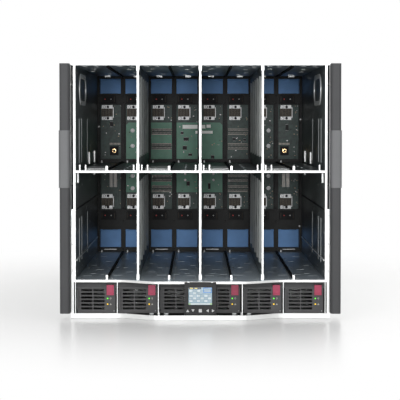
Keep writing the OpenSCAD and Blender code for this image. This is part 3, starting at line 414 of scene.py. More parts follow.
for side in ("left", "right"):
    paint(f"{side}_rack_bezel", ["bezel", "bezel_mid"], lambda x, y, z, n: (
        "bezel_mid" if BEZEL_SEAMS[0] + 0.5 < z < BEZEL_SEAMS[1] - 0.5 else "bezel"))
for i in range(1, 7):
    # Supplies: the sideways faces within the front's depth, mostly the grille slots' walls, take painted
    # shade
    paint(f"power_supply_{i}", ["psu", "psu_slot_shade", "case"], lambda x, y, z, n: (
        "case" if y > 9.05 else "psu_slot_shade" if 0.05 < y < 9.05 and min(abs(n.y), 1) < 0.3 else "psu"))
    paint(f"release_latch_{i}", ["latch"])
paint("display_carriage", ["display"])
paint("display_head", ["display"])
paint("display_screen", ["screen"])
for key in ("up", "down", "ok", "left", "right"):
    paint(f"display_key_{key}", ["key"])


# ---------------------------------------------------------------- mesh building
class Piece:
    """Collects simple shapes, in millimetres, into one bevelled mesh object."""

    def __init__(self, *keys):
        self.bm = bmesh.new()
        self.keys = list(keys)

    def _mark(self, faces, key):
        slot = self.keys.index(key)
        for f in faces:
            f.material_index = slot

    def box(self, low, high, key=None):
        key = key or self.keys[0]
        corners = [self.bm.verts.new(mm(x, y, z)) for x in (low[0], high[0]) for y in (low[1], high[1])
                   for z in (low[2], high[2])]
        quads = [(0, 1, 3, 2), (4, 6, 7, 5), (0, 4, 5, 1), (2, 3, 7, 6), (0, 2, 6, 4), (1, 5, 7, 3)]
        self._mark([self.bm.faces.new([corners[i] for i in q]) for q in quads], key)

    def lathe(self, base, axis, profile, key=None, sides=24, closed=False):
        """A turned shape: profile is a list of (distance along axis, radius), in millimetres."""
        key = key or self.keys[0]
        turn = Vector(axis).to_track_quat("Z", "Y").to_matrix().to_4x4()
        rings = []
        for along, r in profile:
            if r <= 0:
                rings.append([self.bm.verts.new(mm(*(Vector(base) + turn @ Vector((0, 0, along)))))])
                continue
            ring = []
            for k in range(sides):
                a = 2 * math.pi * k / sides
                ring.append(self.bm.verts.new(mm(*(Vector(base) + turn @ Vector(
                    (r * math.cos(a), r * math.sin(a), along))))))
            rings.append(ring)
        faces = []
        for a, b in zip(rings, rings[1:] + rings[:1] if closed else rings[1:]):
            for k in range(max(len(a), len(b))):
                n = (k + 1) % max(len(a), len(b))
                if len(a) == 1:
                    faces.append(self.bm.faces.new([a[0], b[n], b[k]][::-1]))
                elif len(b) == 1:
                    faces.append(self.bm.faces.new([a[k], a[n], b[0]]))
                else:
                    faces.append(self.bm.faces.new([a[k], a[n], b[n], b[k]]))
        for ring in (rings[0], rings[-1]):
            if len(ring) > 1 and not closed:
                faces.append(self.bm.faces.new(ring if ring is rings[-1] else ring[::-1]))
        self._mark(faces, key)

    def screw(self, base, axis, r=3.0, key=None):
        """A pan-head screw with a round recess."""
        self.lathe(base, axis, [(-0.2, r), (0.25 * r, r), (0.5 * r, 0.82 * r), (0.6 * r, 0.5 * r),
                                (0.6 * r, 0.42 * r), (0.2 * r, 0.40 * r), (0.2 * r, 0)], key, 18)

    def rivet(self, base, axis, r=2.0, key=None):
        self.lathe(base, axis, [(-0.2, r), (0.12 * r, r), (0.34 * r, 0.75 * r), (0.45 * r, 0.35 * r),
                                (0.47 * r, 0)], key, 16)

    def ring(self, base, axis, inner, outer, thick, key=None, sides=32):
        profile = [(0, inner), (0, outer), (thick, outer), (thick, inner)]
        self.lathe(base, axis, profile, key, sides, closed=True)

    def prism(self, outline, y0, y1, key=None):
        """An outline in X and Z, pulled along Y from y0 to y1."""
        key = key or self.keys[0]
        front = [self.bm.verts.new(mm(x, y0, z)) for x, z in outline]
        back = [self.bm.verts.new(mm(x, y1, z)) for x, z in outline]
        faces = [self.bm.faces.new(front), self.bm.faces.new(back[::-1])]
        for k in range(len(outline)):
            n = (k + 1) % len(outline)
            faces.append(self.bm.faces.new([front[k], back[k], back[n], front[n]]))
        self._mark(faces, key)

    def finish(self, name, body, bevel=0.2, segments=2):
        bmesh.ops.recalc_face_normals(self.bm, faces=self.bm.faces)
        mesh = bpy.data.meshes.new(name)
        self.bm.to_mesh(mesh)
        self.bm.free()
        for key in self.keys:
            mesh.materials.append(M[key])
        obj = bpy.data.objects.new(name, mesh)
        bpy.context.scene.collection.objects.link(obj)
        if bevel:
            mod = obj.modifiers.new("soft_edges", "BEVEL")
            mod.width = bevel / 1000
            mod.segments = segments
            mod.limit_method = "ANGLE"
            mod.angle_limit = math.radians(40)
            mod.use_clamp_overlap = True
        for f in mesh.polygons:
            f.use_smooth = True
        mesh.set_sharp_from_angle(angle=math.radians(35))
        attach(obj, body)
        return obj


# ---------------------------------------------------------------- power supplies
PSU_W = PSU_PITCH - 2.4
PSU_TOP = FLOOR_Z - 5.5
for i in range(1, 7):
    left, right = psu_x(i) - PSU_W / 2, psu_x(i) + PSU_W / 2
    lamp_x = right - 4.6 - 12.4 + 1.7
    p = Piece("green_lamp", "amber_lamp", "mark")
    for z, key in ((33.9, "green_lamp"), (24.1, "amber_lamp")):
        lens = [(0, 1.25), (0.35, 1.2), (0.6, 0.9), (0.72, 0.4), (0.75, 0)]
        p.lathe((lamp_x, -0.4, z), (0, -1, 0), lens, key, 20)
    # Plain signs beside the lamps: a ring with a stroke, and a triangle
    p.ring((lamp_x + 5.2, 0.05, 34.2), (0, -1, 0), 0.9, 1.5, 0.2, "mark", 24)
    p.box((lamp_x + 5.0, -0.15, 31.4), (lamp_x + 5.4, 0.05, 33.0), "mark")
    p.prism([(lamp_x + 3.4, 22.6), (lamp_x + 7.0, 22.6), (lamp_x + 5.2, 25.8)], -0.15, 0.05, "mark")
    p.finish(f"supply_lamps_{i}", f"power_supply_{i}", 0.0)
    # The front's raised rim, black side strips, the screw at the foot and the seam of the grille's frame
    p = Piece("psu", "black", "silver")
    for x in (left, right - 1.7):
        p.box((x, -0.25, 8.6), (x + 1.7, 0.3, PSU_TOP - 8.4), "black")
    p.box((left + 5.4, -0.35, 10.2), (left + 6.2, 0.2, PSU_TOP - 8.9))
    p.box((left + 5.4, -0.35, PSU_TOP - 9.4), (right - 19.0, 0.2, PSU_TOP - 8.7))
    p.box((left + 5.4, -0.35, 9.6), (right - 2.4, 0.2, 10.3))
    p.box((right - 2.9, -0.35, 10.2), (right - 2.3, 0.2, PSU_TOP - 8.9))
    p.screw((right - 4.4, -0.05, 12.3), (0, -1, 0), 0.9, "silver")
    p.finish(f"supply_trim_{i}", f"power_supply_{i}", 0.12)

# Catches at the feet of the partitions, and the little feet of the base's lip
p = Piece("silver")
for k in (-3, -2, -1, 1, 2, 3):
    x = k * PSU_PITCH - (0 if abs(k) < 3 else math.copysign(2.2, k))
    reach = -23.5 if abs(k) == 1 else 0.4
    for s in (-1, 1):
        if abs(k) != 2 and s == math.copysign(1, k):
            continue
        p.box((x + s * 0.7, reach, 8.8), (x + s * 2.6, reach + 3.2, 13.4))
        p.lathe((x + s * 1.65, reach, 13.2), (0, 1, 0), [(0, 0.95), (3.2, 0.95)], "silver", 14)
p.finish("supply_catches", "chassis", 0.15)

# ---------------------------------------------------------------- display
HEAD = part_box("display_head")
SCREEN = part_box("display_screen")
FACE = (SCREEN[0][1] - FRONT_Y) * 1000
SCREEN_TOP, SCREEN_LOW = SCREEN[1][2] * 1000, SCREEN[0][2] * 1000
p = Piece("screen_pale", "screen", "screen_tile", "screen_dark", "screen_yellow", "screen_line",
          "screen_green")
p.box((-19.8, FACE - 0.12, SCREEN_LOW + 0.2), (19.8, FACE + 0.02, SCREEN_LOW + 3.4), "screen_pale")
p.box((-19.8, FACE - 0.16, SCREEN_LOW + 0.4), (-16.6, FACE, SCREEN_LOW + 3.0), "screen_green")
p.box((16.6, FACE - 0.16, SCREEN_LOW + 0.4), (19.8, FACE, SCREEN_LOW + 3.0), "screen_green")
p.box((-19.8, FACE - 0.12, SCREEN_TOP - 2.9), (1.2, FACE + 0.02, SCREEN_TOP - 0.2), "screen_dark")
for x, w in ((-18.0, 5.6), (-9.5, 4.6)):
    p.box((x, FACE - 0.17, SCREEN_TOP - 2.1), (x + w, FACE - 0.1, SCREEN_TOP - 1.0), "screen_yellow")
p.box((5.0, FACE - 0.12, SCREEN_TOP - 9.4), (19.4, FACE + 0.02, SCREEN_TOP - 0.4), "screen_tile")
p.box((6.4, FACE - 0.17, SCREEN_TOP - 8.0), (18.0, FACE - 0.1, SCREEN_TOP - 1.8), "screen")
for r in range(5):
    z = SCREEN_LOW + 5.2 + r * 4.35
    for c in range(6):
        x = -18.6 + c * 6.35
        if z + 3 > SCREEN_TOP - 9.6 and x > -2:
            continue
        key = "screen_line" if (r + c) % 2 else "screen_pale"
        p.box((x, FACE - 0.12, z), (x + 5.3, FACE + 0.02, z + 3.3), key)
p.finish("screen_picture", "display_head", 0.0)
# A dark gasket round the screen
HEAD_FRONT = HEAD[0][1] * 1000 - FRONT_Y * 1000
p = Piece("black")
for low, high in (((-20.9, SCREEN_LOW - 0.9), (20.9, SCREEN_LOW - 0.05)),
                  ((-20.9, SCREEN_TOP + 0.05), (20.9, SCREEN_TOP + 0.9)),
                  ((-20.9, SCREEN_LOW - 0.9), (-20.05, SCREEN_TOP + 0.9)),
                  ((20.05, SCREEN_LOW - 0.9), (20.9, SCREEN_TOP + 0.9))):
    p.box((low[0], HEAD_FRONT - 0.12, low[1]), (high[0], HEAD_FRONT + 0.3, high[1]), "black")
p.finish("screen_gasket", "display_head", 0.0)

# ---------------------------------------------------------------- device bays
DASHES = ((-38, 60, 16), (-31, 96, 10), (-12, 82, 12), (14, 70, 18), (34, 120, 12), (-24, 160, 14),
          (22, 190, 10),
          (-40, 230, 10), (38, 262, 12), (-16, 300, 12), (12, 352, 10), (-34, 400, 12), (32, 420, 10))
p = Piece("pressed", "silver", "guide")
for k in range(1, 5):
    for x, y, length in DASHES:
        flip = 1 if k % 2 else -1
        p.box((zone_x(k) + flip * x - length / 2, y, FLOOR_Z - 0.1),
              (zone_x(k) + flip * x + length / 2, y + 2.6, FLOOR_Z + 0.25), "pressed")
    for x in (-46, -8, 8, 46):
        for y in (24, 190, 350, 470):
            p.rivet((zone_x(k) + x, y, FLOOR_Z + 0.02), (0, 0, 1), 1.9, "silver")
    # Clips that hold the black guides down
    for z in (FLOOR_Z + 3, SHELF_TOP + 3):
        for y in (40, 176, 312, 448):
            p.box((zone_x(k) - 2.5, y, z - 0.8), (zone_x(k) + 2.5, y + 5, z + 0.35), "guide")
p.finish("floor_marks", "chassis", 0.12)

# Tabs on the bay ceilings in the zinc's painted highlight, with rivets
p = Piece("silver", "edge")
for k in range(1, 5):
    for x, y in ((-40, 40), (-22, 60), (20, 44), (42, 66), (-34, 150), (30, 170), (-44, 260),
                 (36, 290), (-20, 380), (24, 410)):
        p.box((zone_x(k) + x - 4, y, CEILING_Z - 0.5), (zone_x(k) + x + 4, y + 2.2, CEILING_Z + 0.1), "edge")
        p.rivet((zone_x(k) + x + 6.5, y + 1, CEILING_Z - 0.02), (0, 0, -1), 1.5, "silver")
    for x in (-30, 30):
        p.box((zone_x(k) + x - 6, 470, CEILING_Z - 3.2), (zone_x(k) + x + 6, 474, CEILING_Z + 0.1), "edge")
p.finish("ceiling_marks", "chassis", 0.12)

# Spring fingers and catches on the shelves' front flange, and the plate's rim, in the zinc's painted
# highlight
p = Piece("edge", "silver")
for k in range(1, 5):
    left, right = zone_x(k) - ZONE / 2, zone_x(k) + ZONE / 2
    for x in (left + 6, left + 16, right - 8):
        p.box((x - 1.1, 18, SHELF_TOP - 0.1), (x + 1.1, 21, SHELF_TOP + 9.5), "edge")
    p.box((left + 10.5, 71, SHELF_TOP - 0.1), (left + 12.2, 239, SHELF_TOP + 1.1), "edge")
    for x in (left + 30, right - 30):
        p.rivet((x, 12, SHELF_TOP), (0, 0, 1), 2.0, "silver")
    p.rivet((zone_x(k), -0.02, SHELF_Z + 1.75), (0, -1, 0), 1.1, "silver")
p.finish("shelf_catches", "chassis", 0.12)

# Rivets of the liners, short ribs on them, and screws on the front hems
p = Piece("silver", "edge", "liner")
for s in (-1, 1):
    inner = s * LINER_X
    for y in (30, 130, 300, 470):
        for z in (FLOOR_Z + 12, FLOOR_Z + 80, SHELF_Z - 26, SHELF_TOP + 40, CEILING_Z - 12):
            p.rivet((inner, y, z), (-s, 0, 0), 1.7, "silver")
    # Short ribs on the liners, in their painted shade
    for z in (FLOOR_Z + 60, FLOOR_Z + 110, SHELF_TOP + 70, SHELF_TOP + 120):
        for y in (88, 208, 390):
            p.box(*sorted_box((inner, y, z), (inner - s * 0.7, y + 26, z + 1.2)), "liner")
    # Screws on the front hems, in the zinc's painted highlight
    for z in (FLOOR_Z + 16, FLOOR_Z + 62, FLOOR_Z + 108):
        p.screw((s * (HALF_W - 3.6), 0, z), (0, -1, 0), 1.9, "edge")
p.finish("wall_rivets", "chassis", 0.1)

# Folded tabs that hook the dividers to the shelf and the ceiling, in the zinc's painted highlight
p = Piece("edge", "silver")
for k in (-1, 0, 1):
    for z0, z1 in ((SHELF_TOP, SHELF_TOP + 12), (CEILING_Z - 9, CEILING_Z), (FLOOR_Z, FLOOR_Z + 9)):
        p.box((k * ZONE - 2.6, 3.0, z0), (k * ZONE + 2.6, 5.4, z1), "edge")
    for s in (-1, 1):
        for z in (FLOOR_Z + 12, SHELF_Z - 10, SHELF_TOP + 14, CEILING_Z - 9):
            for y in (60, 240, 420):
                p.rivet((k * ZONE + s * 0.8, y, z), (s, 0, 0), 1.5, "silver")
p.finish("divider_tabs", "chassis", 0.15)

# ---------------------------------------------------------------- midplane
BOARD_Y = FRAME_BACK + 4
BRIGHT_Y = FRAME_BACK + 0.3
UPPER = (261.5, 376.5)
LOWER = (155.6, 246.0)


def board_y(x, z):
    return BRIGHT_Y if -154.4 < x < 47 and SHELF_Z - 58 < z < 336 else BOARD_Y


p = Piece("silver", "black", "gold")
for x in (-141.8, 145.9):
    for z in (321.7, 289.1, 225.6, 199.6):
        y = board_y(x, z)
        p.lathe((x, y + 0.1, z), (0, -1, 0), [(0, 4.2), (0.4, 4.2), (0.5, 3.1), (1.9, 3.0), (2.4, 2.2),
                                              (2.4, 1.2), (1.4, 1.1), (1.4, 0)], "silver", 20)
        p.box((x - 7.4, y - 1.0, z - 4.4), (x - 5.0, y + 0.1, z - 2.6), "black")
for x, z in ((-180.9, 278.8), (179.5, 278.8)):
    p.box((x - 9, BOARD_Y - 1.4, z - 9.5), (x + 9, BOARD_Y + 0.1, z + 9.5), "black")
    p.lathe((x, BOARD_Y - 1.3, z), (0, -1, 0), [(0, 4.9), (1.6, 4.9), (1.9, 4.4), (1.9, 3.2), (0.3, 3.0),
                                                (0.3, 0)], "gold", 28)
    p.lathe((x, BOARD_Y - 1.6, z), (0, -1, 0), [(0, 2.9), (0.2, 2.9), (0.2, 0)], "black", 20)
for x, z in ((-30.6, 230), (29.2, 230), (-30.6, 217), (29.2, 217)):
    profile = [(0, 2.5), (0.8, 2.4), (1.1, 1.6), (1.1, 0)]
    p.lathe((x, board_y(x, z) + 0.1, z), (0, -1, 0), profile, "silver", 20)
p.finish("board_screws", "chassis", 0.0)

# Rows of pins in dark headers, and the tall ribbed headers of the outer bays
p = Piece("black", "pin", "grey", "header")
for i in (3, 6):
    for z0, z1 in ((312.5, 326), (281.5, 295), (213.7, 228.3), (191.4, 205.5)):
        x0, x1 = bay_x(i) - 21.5, bay_x(i) + 21.5
        y = board_y(bay_x(i), (z0 + z1) / 2)
        p.box((x0, y - 2.2, z0), (x1, y + 0.1, z0 + 2.0), "header")
        p.box((x0, y - 2.2, z1 - 2.0), (x1, y + 0.1, z1), "header")
        p.box((x0, y - 1.0, z0 + 2.0), (x1, y + 0.1, z1 - 2.0), "header")
        for n in range(15):
            x = x0 + 1.4 + n * 2.85
            for zz in (z0 + 3.4, z1 - 4.8):
                shift = 0.7 if zz > z0 + 4 else 0
                p.box((x + shift, y - 1.7, zz), (x + shift + 1.2, y - 0.8, zz + 1.4), "pin")
        for zz in (z0 + 0.5, z1 - 1.5):
            p.box((x0 + 0.8, y - 2.5, zz), (x1 - 0.8, y - 2.0, zz + 0.8), "pin")
for s in (-1, 1):
    for n in range(2):
        x0 = s * 182.5 - 8 + n * 8.6
        p.box((x0, BOARD_Y - 4.2, 202), (x0 + 7.0, BOARD_Y + 0.1, 232), "grey")
        for r in range(11):
            p.box((x0 + 0.9, BOARD_Y - 4.7, 203.4 + r * 2.6),
                  (x0 + 6.1, BOARD_Y - 4.0, 204.7 + r * 2.6), "pin")
    p.box((s * 179 - 12, BOARD_Y - 2.0, 290), (s * 179 + 12, BOARD_Y + 0.1, 297), "header")
    for n in range(8):
        p.box((s * 179 - 11 + n * 2.9, BOARD_Y - 2.4, 291.5),
              (s * 179 - 9.6 + n * 2.9, BOARD_Y - 1.8, 295.5), "pin")
p.finish("board_headers", "chassis", 0.0)

# Bare labels, chips, and small parts spread over the boards
p = Piece("label", "chip", "tan", "silver")
for low, high in (((-36, 325.5), (-0.9, 333.5)), ((-8.8, 315.2), (27.5, 321)),
                  ((1.5, 326), (12, 333.5)), ((14.5, 327.5), (23.5, 334))):
    y = BRIGHT_Y
    p.box((low[0], y - 0.25, low[1]), (high[0], y + 0.05, high[1]), "label")
for x, z, w, h in ((-34, 300, 11, 7), (-36, 281, 9, 8), (-24, 268, 8, 5), (-40, 314, 6, 5),
                   (-4, 290, 7, 16), (24, 262, 7, 7), (-28, 205, 7, 9), (18, 198, 5, 12), (70, 300, 6, 6),
                   (92, 300, 6, 4), (120, 250, 6, 6), (-190, 330, 7, 10), (182, 322, 6, 12),
                   (190, 246, 8, 6), (-118, 318, 5, 5), (-117, 288, 5, 5)):
    y = board_y(x, z)
    p.box((x, y - 1.3, z), (x + w, y + 0.05, z + h), "chip")
    for n in range(int(w // 1.4)):
        for zz in (z - 0.7, z + h):
            p.box((x + 0.5 + n * 1.4, y - 0.5, zz), (x + 1.0 + n * 1.4, y + 0.02, zz + 0.7), "silver")
for i in range(1, 9):
    for z0, z1 in (UPPER, LOWER):
        for n in range(20):
            x = bay_x(i) + random.choice((random.uniform(-20, 20), random.uniform(10.5, 20.5)))
            z = random.uniform(z0 + 3, z1 - 3)
            y = board_y(x, z)
            if y == BRIGHT_Y and random.random() < 0.55:
                continue
            w, h = random.choice(((1.6, 0.9), (0.9, 1.6), (2.2, 1.3), (1.3, 2.2), (2.8, 1.6)))
            key = random.choice(("tan", "silver", "chip", "tan"))
            p.box((x, y - 0.7, z), (x + w, y + 0.03, z + h), key)
p.finish("board_parts", "chassis", 0.0)

# Ribs, brackets and ports of the blade connectors
SIGNAL_Z = (359.5, 172.1)
POWER_Z = (387.5, 143.1)
p = Piece("rib", "silver", "black", "red", "core")
for i in range(1, 9):
    x0 = bay_x(i) - 6.6
    for z in SIGNAL_Z:
        for n in range(8):
            x = x0 - 11.3 + n * 3.2
            p.box((x, FRAME_Y - 1.35, z - 8.2), (x + 1.3, FRAME_Y + 0.2, z + 8.2), "rib")
        for s in (-1, 1):
            zz = z + s * 11.9
            for dx in (-9.2, 4.7):
                p.box((x0 + dx, FRAME_Y - 0.3, zz - 3.3), (x0 + dx + 4.6, FRAME_Y + 0.8, zz + 3.3), "silver")
            for dx in (-6, 1.5):
                profile = [(0, 2.9), (1.0, 2.8), (1.0, 2.05), (0.1, 2.0), (0.1, 0)]
                p.lathe((x0 + dx, FRAME_Y + 0.6, zz), (0, -1, 0), profile, "black", 18)
        p.box((x0 + 12.4, FRAME_Y + 0.2, z - 10.6), (x0 + 13.7, FRAME_Y + 1.1, z + 10.6), "silver")
    for z in POWER_Z:
        x1 = bay_x(i) - 4
        for dx, key in ((-6.5, "red"), (6, "silver")):
            collar = [(0, 4.6), (0.5, 4.5), (0.5, 3.7), (-0.5, 3.6)]
            p.lathe((x1 + dx, FRAME_Y - 6.9, z), (0, -1, 0), collar, "black", 22)
            post = [(0, 1.5), (1.6, 1.4), (1.9, 0.9), (1.9, 0)]
            p.lathe((x1 + dx, FRAME_Y - 5.6, z), (0, -1, 0), post, key, 16)
        p.box((x1 - 14.5, FRAME_Y - 7.3, z - 6.0), (x1 - 12.6, FRAME_Y - 6.6, z + 6.0), "core")
        p.box((x1 + 12.2, FRAME_Y - 7.3, z - 6.0), (x1 + 14.0, FRAME_Y - 6.6, z + 6.0), "core")
p.finish("connector_ribs", "chassis", 0.0)

# Screws, latch bars and edge ribs of the midplane frame
p = Piece("frame", "silver", "white")
for j in range(9):
    x = (j - 4) * BAY + (3.2 if j == 0 else -3.2 if j == 8 else 0)
    for z in (FLOOR_Z + 6, 131, 158, 188, 224, 266, 300, 338, 380, 395, CEILING_Z - 6):
        p.screw((x, FRAME_Y, z), (0, -1, 0), 1.7, "frame")
    for s in (-1, 1):
        rib = x + s * 3.1
        p.box((rib - 0.35, FRAME_Y - 0.7, FLOOR_Z + 2), (rib + 0.35, FRAME_Y + 0.1, CEILING_Z - 2), "frame")
for x, z in ((212, 345), (-212, 330), (210.5, 120)):
    p.screw((x, FRAME_Y, z), (0, -1, 0), 1.8, "white")
for i in (1, 3, 5, 8):
    x = bay_x(i)
    p.box((x - 13, FRAME_Y - 1.4, FLOOR_Z + 4.6), (x + 13, FRAME_Y + 0.1, FLOOR_Z + 6.0), "silver")
for i in range(1, 9):
    for z in (UPPER[1] + 22.8, LOWER[0] - 42.4):
        p.box((bay_x(i) - 16, FRAME_Y - 0.5, z - 0.5), (bay_x(i) + 16, FRAME_Y + 0.1, z + 0.3), "frame")
p.finish("frame_details", "chassis", 0.0)

# Faint ribs and pull lips on the air doors
for i in range(1, 9):
    for row in ("upper", "lower"):
        low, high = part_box(f"{row}_air_door_{i}")
        x0, x1 = low[0] * 1000 + 3.2, high[0] * 1000 - 3.2
        y = (low[1] - FRONT_Y) * 1000
        z0 = low[2] * 1000
        z1 = high[2] * 1000 - 4
        face = y + (high[1] - low[1]) * 500 - 1.6
        p = Piece("door")
        p.box((x0, face - 0.35, z0 + 0.3), (x1, face + 1.0, z0 + 1.5))
        for x in (x0 + 0.4, x1 - 1.2):
            p.box((x, face - 0.25, z0 + 1.5), (x + 0.8, face + 1.0, z1))
        p.finish(f"{row}_door_ribs_{i}", f"{row}_air_door_{i}", 0.12)

# ---------------------------------------------------------------- rear
ADMIN_Z = FLOOR_Z + 105.5
IC_Z = FLOOR_Z + 139.4
IC_PITCH = (CEILING_Z - 104 - 1.2 - IC_Z) / 4
FAN_PITCH = 2 * LINER_X / 5


def fan_x(c):
    return -(c - 3) * FAN_PITCH


FAN_Z = (FLOOR_Z + 52, CEILING_Z - 52)
for c in (3, 4, 5):
    for row, z in (("lower", FAN_Z[0]), ("upper", FAN_Z[1])):
        x = fan_x(c)
        p = Piece("fan", "silver", "green_lamp", "grip")
        # Wire guard over the outlet, pull handle, lamp and screws
        for r in (10, 18, 26, 34):
            p.ring((x, DEPTH + 0.4, z), (0, 1, 0), r - 0.6, r + 0.6, 1.1, "fan", 48)
        for a in range(0, 360, 60):
            ca, sa = math.cos(math.radians(a)), math.sin(math.radians(a))
            p.prism([(x + 9 * ca - 0.7 * sa, z + 9 * sa + 0.7 * ca),
                     (x + 9 * ca + 0.7 * sa, z + 9 * sa - 0.7 * ca),
                     (x + 39.4 * ca + 0.7 * sa, z + 39.4 * sa - 0.7 * ca),
                     (x + 39.4 * ca - 0.7 * sa, z + 39.4 * sa + 0.7 * ca)],
                    DEPTH + 0.1, DEPTH + 1.2, "fan")
        for s in (-1, 1):
            p.box((x + s * 22 - 3, DEPTH - 0.1, z + 43.5), (x + s * 22 + 3, DEPTH + 6.4, z + 49.0), "grip")
        p.box((x - 25, DEPTH + 4.6, z + 43.5), (x + 25, DEPTH + 7.6, z + 49.0), "grip")
        lens = [(0, 1.8), (0.6, 1.7), (1.0, 1.0), (1.1, 0)]
        p.lathe((x + 34, DEPTH - 0.1, z - 44), (0, 1, 0), lens, "green_lamp", 18)
        for sx in (-1, 1):
            p.screw((x + sx * 36, DEPTH, z - 47), (0, 1, 0), 2.0, "silver")
        p.finish(f"{row}_fan_guard_{c}", "chassis", 0.2)
        # A plain ring on each rotor's hub
        p = Piece("rotor")
        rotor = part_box(f"{row}_fan_rotor_{c}")
        front = (rotor[0][1] - FRONT_Y) * 1000
        p.ring((x, front + 6.0, z), (0, -1, 0), 4.0, 8.0, 0.5, "rotor", 36)
        p.finish(f"{row}_rotor_cap_{c}", f"{row}_fan_rotor_{c}", 0.0)

p = Piece("silver", "blank", "label", "green_lamp", "gold", "duct", "grip")
for c in (1, 2):
    for z in FAN_Z:
        for sx in (-1, 1):
            for sz in (-1, 1):
                p.screw((fan_x(c) + sx * 37, DEPTH, z + sz * 46), (0, 1, 0), 2.0, "silver")
for s in (-1, 1):
    for r in range(4):
        x, z = s * (LINER_X / 2 + 0.3), IC_Z + (r + 0.5) * IC_PITCH
        for sx in (-1, 1):
            p.screw((x + sx * 100, DEPTH, z + 8), (0, 1, 0), 1.9, "silver")
        p.box((x - 30, DEPTH - 0.1, z + 6.5), (x + 30, DEPTH + 0.25, z + 11.5), "label")
        for n in range(12):
            p.box((x - 78 + n * 13, DEPTH - 0.1, z - 11.4), (x - 70 + n * 13, DEPTH + 0.5, z - 10.0), "blank")
for cx in (-128.5, 128.5):
    for dx, w, h in ((-63.5, 16, 14), (-41.5, 16, 14), (-13.5, 31, 12)):
        x, z = cx + dx, ADMIN_Z + 16
        for n in range(int(w / 2.1)):
            p.box((x - w / 2 + 1.1 + n * 2.0, DEPTH - 8.9, z - h / 2 + 1.2),
                  (x - w / 2 + 1.8 + n * 2.0, DEPTH - 2.4, z - h / 2 + 1.9), "gold")
        for sx in (-1, 1):
            edge_x = x + sx * (w / 2 + 1.2)
            p.box((edge_x - 0.6, DEPTH - 0.1, z - h / 2 - 0.8), (edge_x + 0.6, DEPTH + 0.7, z + h / 2 + 0.8),
                  "silver")
    for n in range(3):
        p.lathe((cx + 20 + n * 6, DEPTH - 0.1, ADMIN_Z + 23), (0, 1, 0),
                [(0, 1.2), (0.5, 1.1), (0.8, 0)], "green_lamp", 14)
    # A row of slots on each module's face, drawn as boxes in painted shade
    for n in range(9):
        p.box((cx + 10 + n * 4.4, DEPTH - 0.1, ADMIN_Z + 5),
              (cx + 12.4 + n * 4.4, DEPTH + 0.12, ADMIN_Z + 15), "duct")
    for x in (-80, 80):
        p.screw((cx + x, DEPTH, ADMIN_Z + 16), (0, 1, 0), 2.3, "silver")
for x in (-20, 0, 20):
    for n in range(6):
        p.box((x - 5.3 + n * 2.0, DEPTH - 8.9, ADMIN_Z + 10.2),
              (x - 4.6 + n * 2.0, DEPTH - 2.4, ADMIN_Z + 10.9), "gold")
for i in range(1, 7):
    for sx in (-1, 1):
        p.screw((psu_x(i) + sx * 22, DEPTH, 33), (0, 1, 0), 2.0, "silver")
    # Rim of the socket and its green lamp
    p.box((psu_x(i) - 16.4, DEPTH - 0.1, 45.4), (psu_x(i) + 16.4, DEPTH + 0.6, 46.6), "grip")
    p.box((psu_x(i) - 16.4, DEPTH - 0.1, 19.4), (psu_x(i) + 16.4, DEPTH + 0.6, 20.6), "grip")
    p.box((psu_x(i) - 16.6, DEPTH - 0.1, 19.4), (psu_x(i) - 15.4, DEPTH + 0.6, 46.6), "grip")
    p.box((psu_x(i) + 15.4, DEPTH - 0.1, 19.4), (psu_x(i) + 16.6, DEPTH + 0.6, 46.6), "grip")
    p.lathe((psu_x(i) + 22, DEPTH - 0.1, 42), (0, 1, 0), [(0, 1.3), (0.5, 1.2), (0.8, 0)], "green_lamp", 14)
p.finish("rear_details", "chassis", 0.0)

# ---------------------------------------------------------------- sides
p = Piece("skin", "silver")
for s in (-1, 1):
    wall = s * HALF_W
    for z in (16, 150, 290, HEIGHT - 12):
        for n in range(9):
            p.rivet((wall, 24 + n * (DEPTH - 48) / 8, z), (s, 0, 0), 2.4, "silver")
    for y in (FRAME_BACK + 6, DEPTH - 150):
        for n in range(6):
            p.screw((wall, y, 40 + n * 72), (s, 0, 0), 2.8, "silver")
    # Stiffening beads pressed out of the skin
    for z in (96, 222, 356):
        for y0, y1 in ((60, FRAME_BACK - 30), (FRAME_BACK + 30, DEPTH - 175)):
            p.box(*sorted_box((wall, y0, z - 4), (wall + s * 0.9, y1, z + 4)), "skin")
            p.box(*sorted_box((wall, y0 + 5, z - 2), (wall + s * 1.5, y1 - 5, z + 2)), "skin")
    # Vent slots' louvres near the rear
    for n in range(9):
        y = DEPTH - 128 + n * 12
        p.box(*sorted_box((wall, y, 90), (wall + s * 1.3, y + 4, 190)), "skin")
p.finish("side_details", "chassis", 0.5, 2)

# ---------------------------------------------------------------- light, floor, camera
world = bpy.data.worlds.new("studio")
world.use_nodes = True
bpy.context.scene.world = world
wt = world.node_tree
wt.nodes.clear()
w_out = wt.nodes.new("ShaderNodeOutputWorld")
w_light = wt.nodes.new("ShaderNodeBackground")
w_light.inputs["Color"].default_value = (1, 1, 1, 1)
w_light.inputs["Strength"].default_value = 0.5
w_seen = wt.nodes.new("ShaderNodeBackground")
w_seen.inputs["Color"].default_value = (1, 1, 1, 1)
w_seen.inputs["Strength"].default_value = 1.0
w_path = wt.nodes.new("ShaderNodeLightPath")
w_mix = wt.nodes.new("ShaderNodeMixShader")
w_any = wt.nodes.new("ShaderNodeMath")
w_any.operation = "MAXIMUM"
wt.links.new(w_path.outputs["Is Camera Ray"], w_any.inputs[0])
w_ray = wt.nodes.new("ShaderNodeMath")
w_ray.operation = "MAXIMUM"
wt.links.new(w_path.outputs["Is Glossy Ray"], w_ray.inputs[0])
wt.links.new(w_path.outputs["Is Transmission Ray"], w_ray.inputs[1])
wt.links.new(w_ray.outputs["Value"], w_any.inputs[1])
wt.links.new(w_any.outputs["Value"], w_mix.inputs["Fac"])
wt.links.new(w_light.outputs["Background"], w_mix.inputs[1])
wt.links.new(w_seen.outputs["Background"], w_mix.inputs[2])
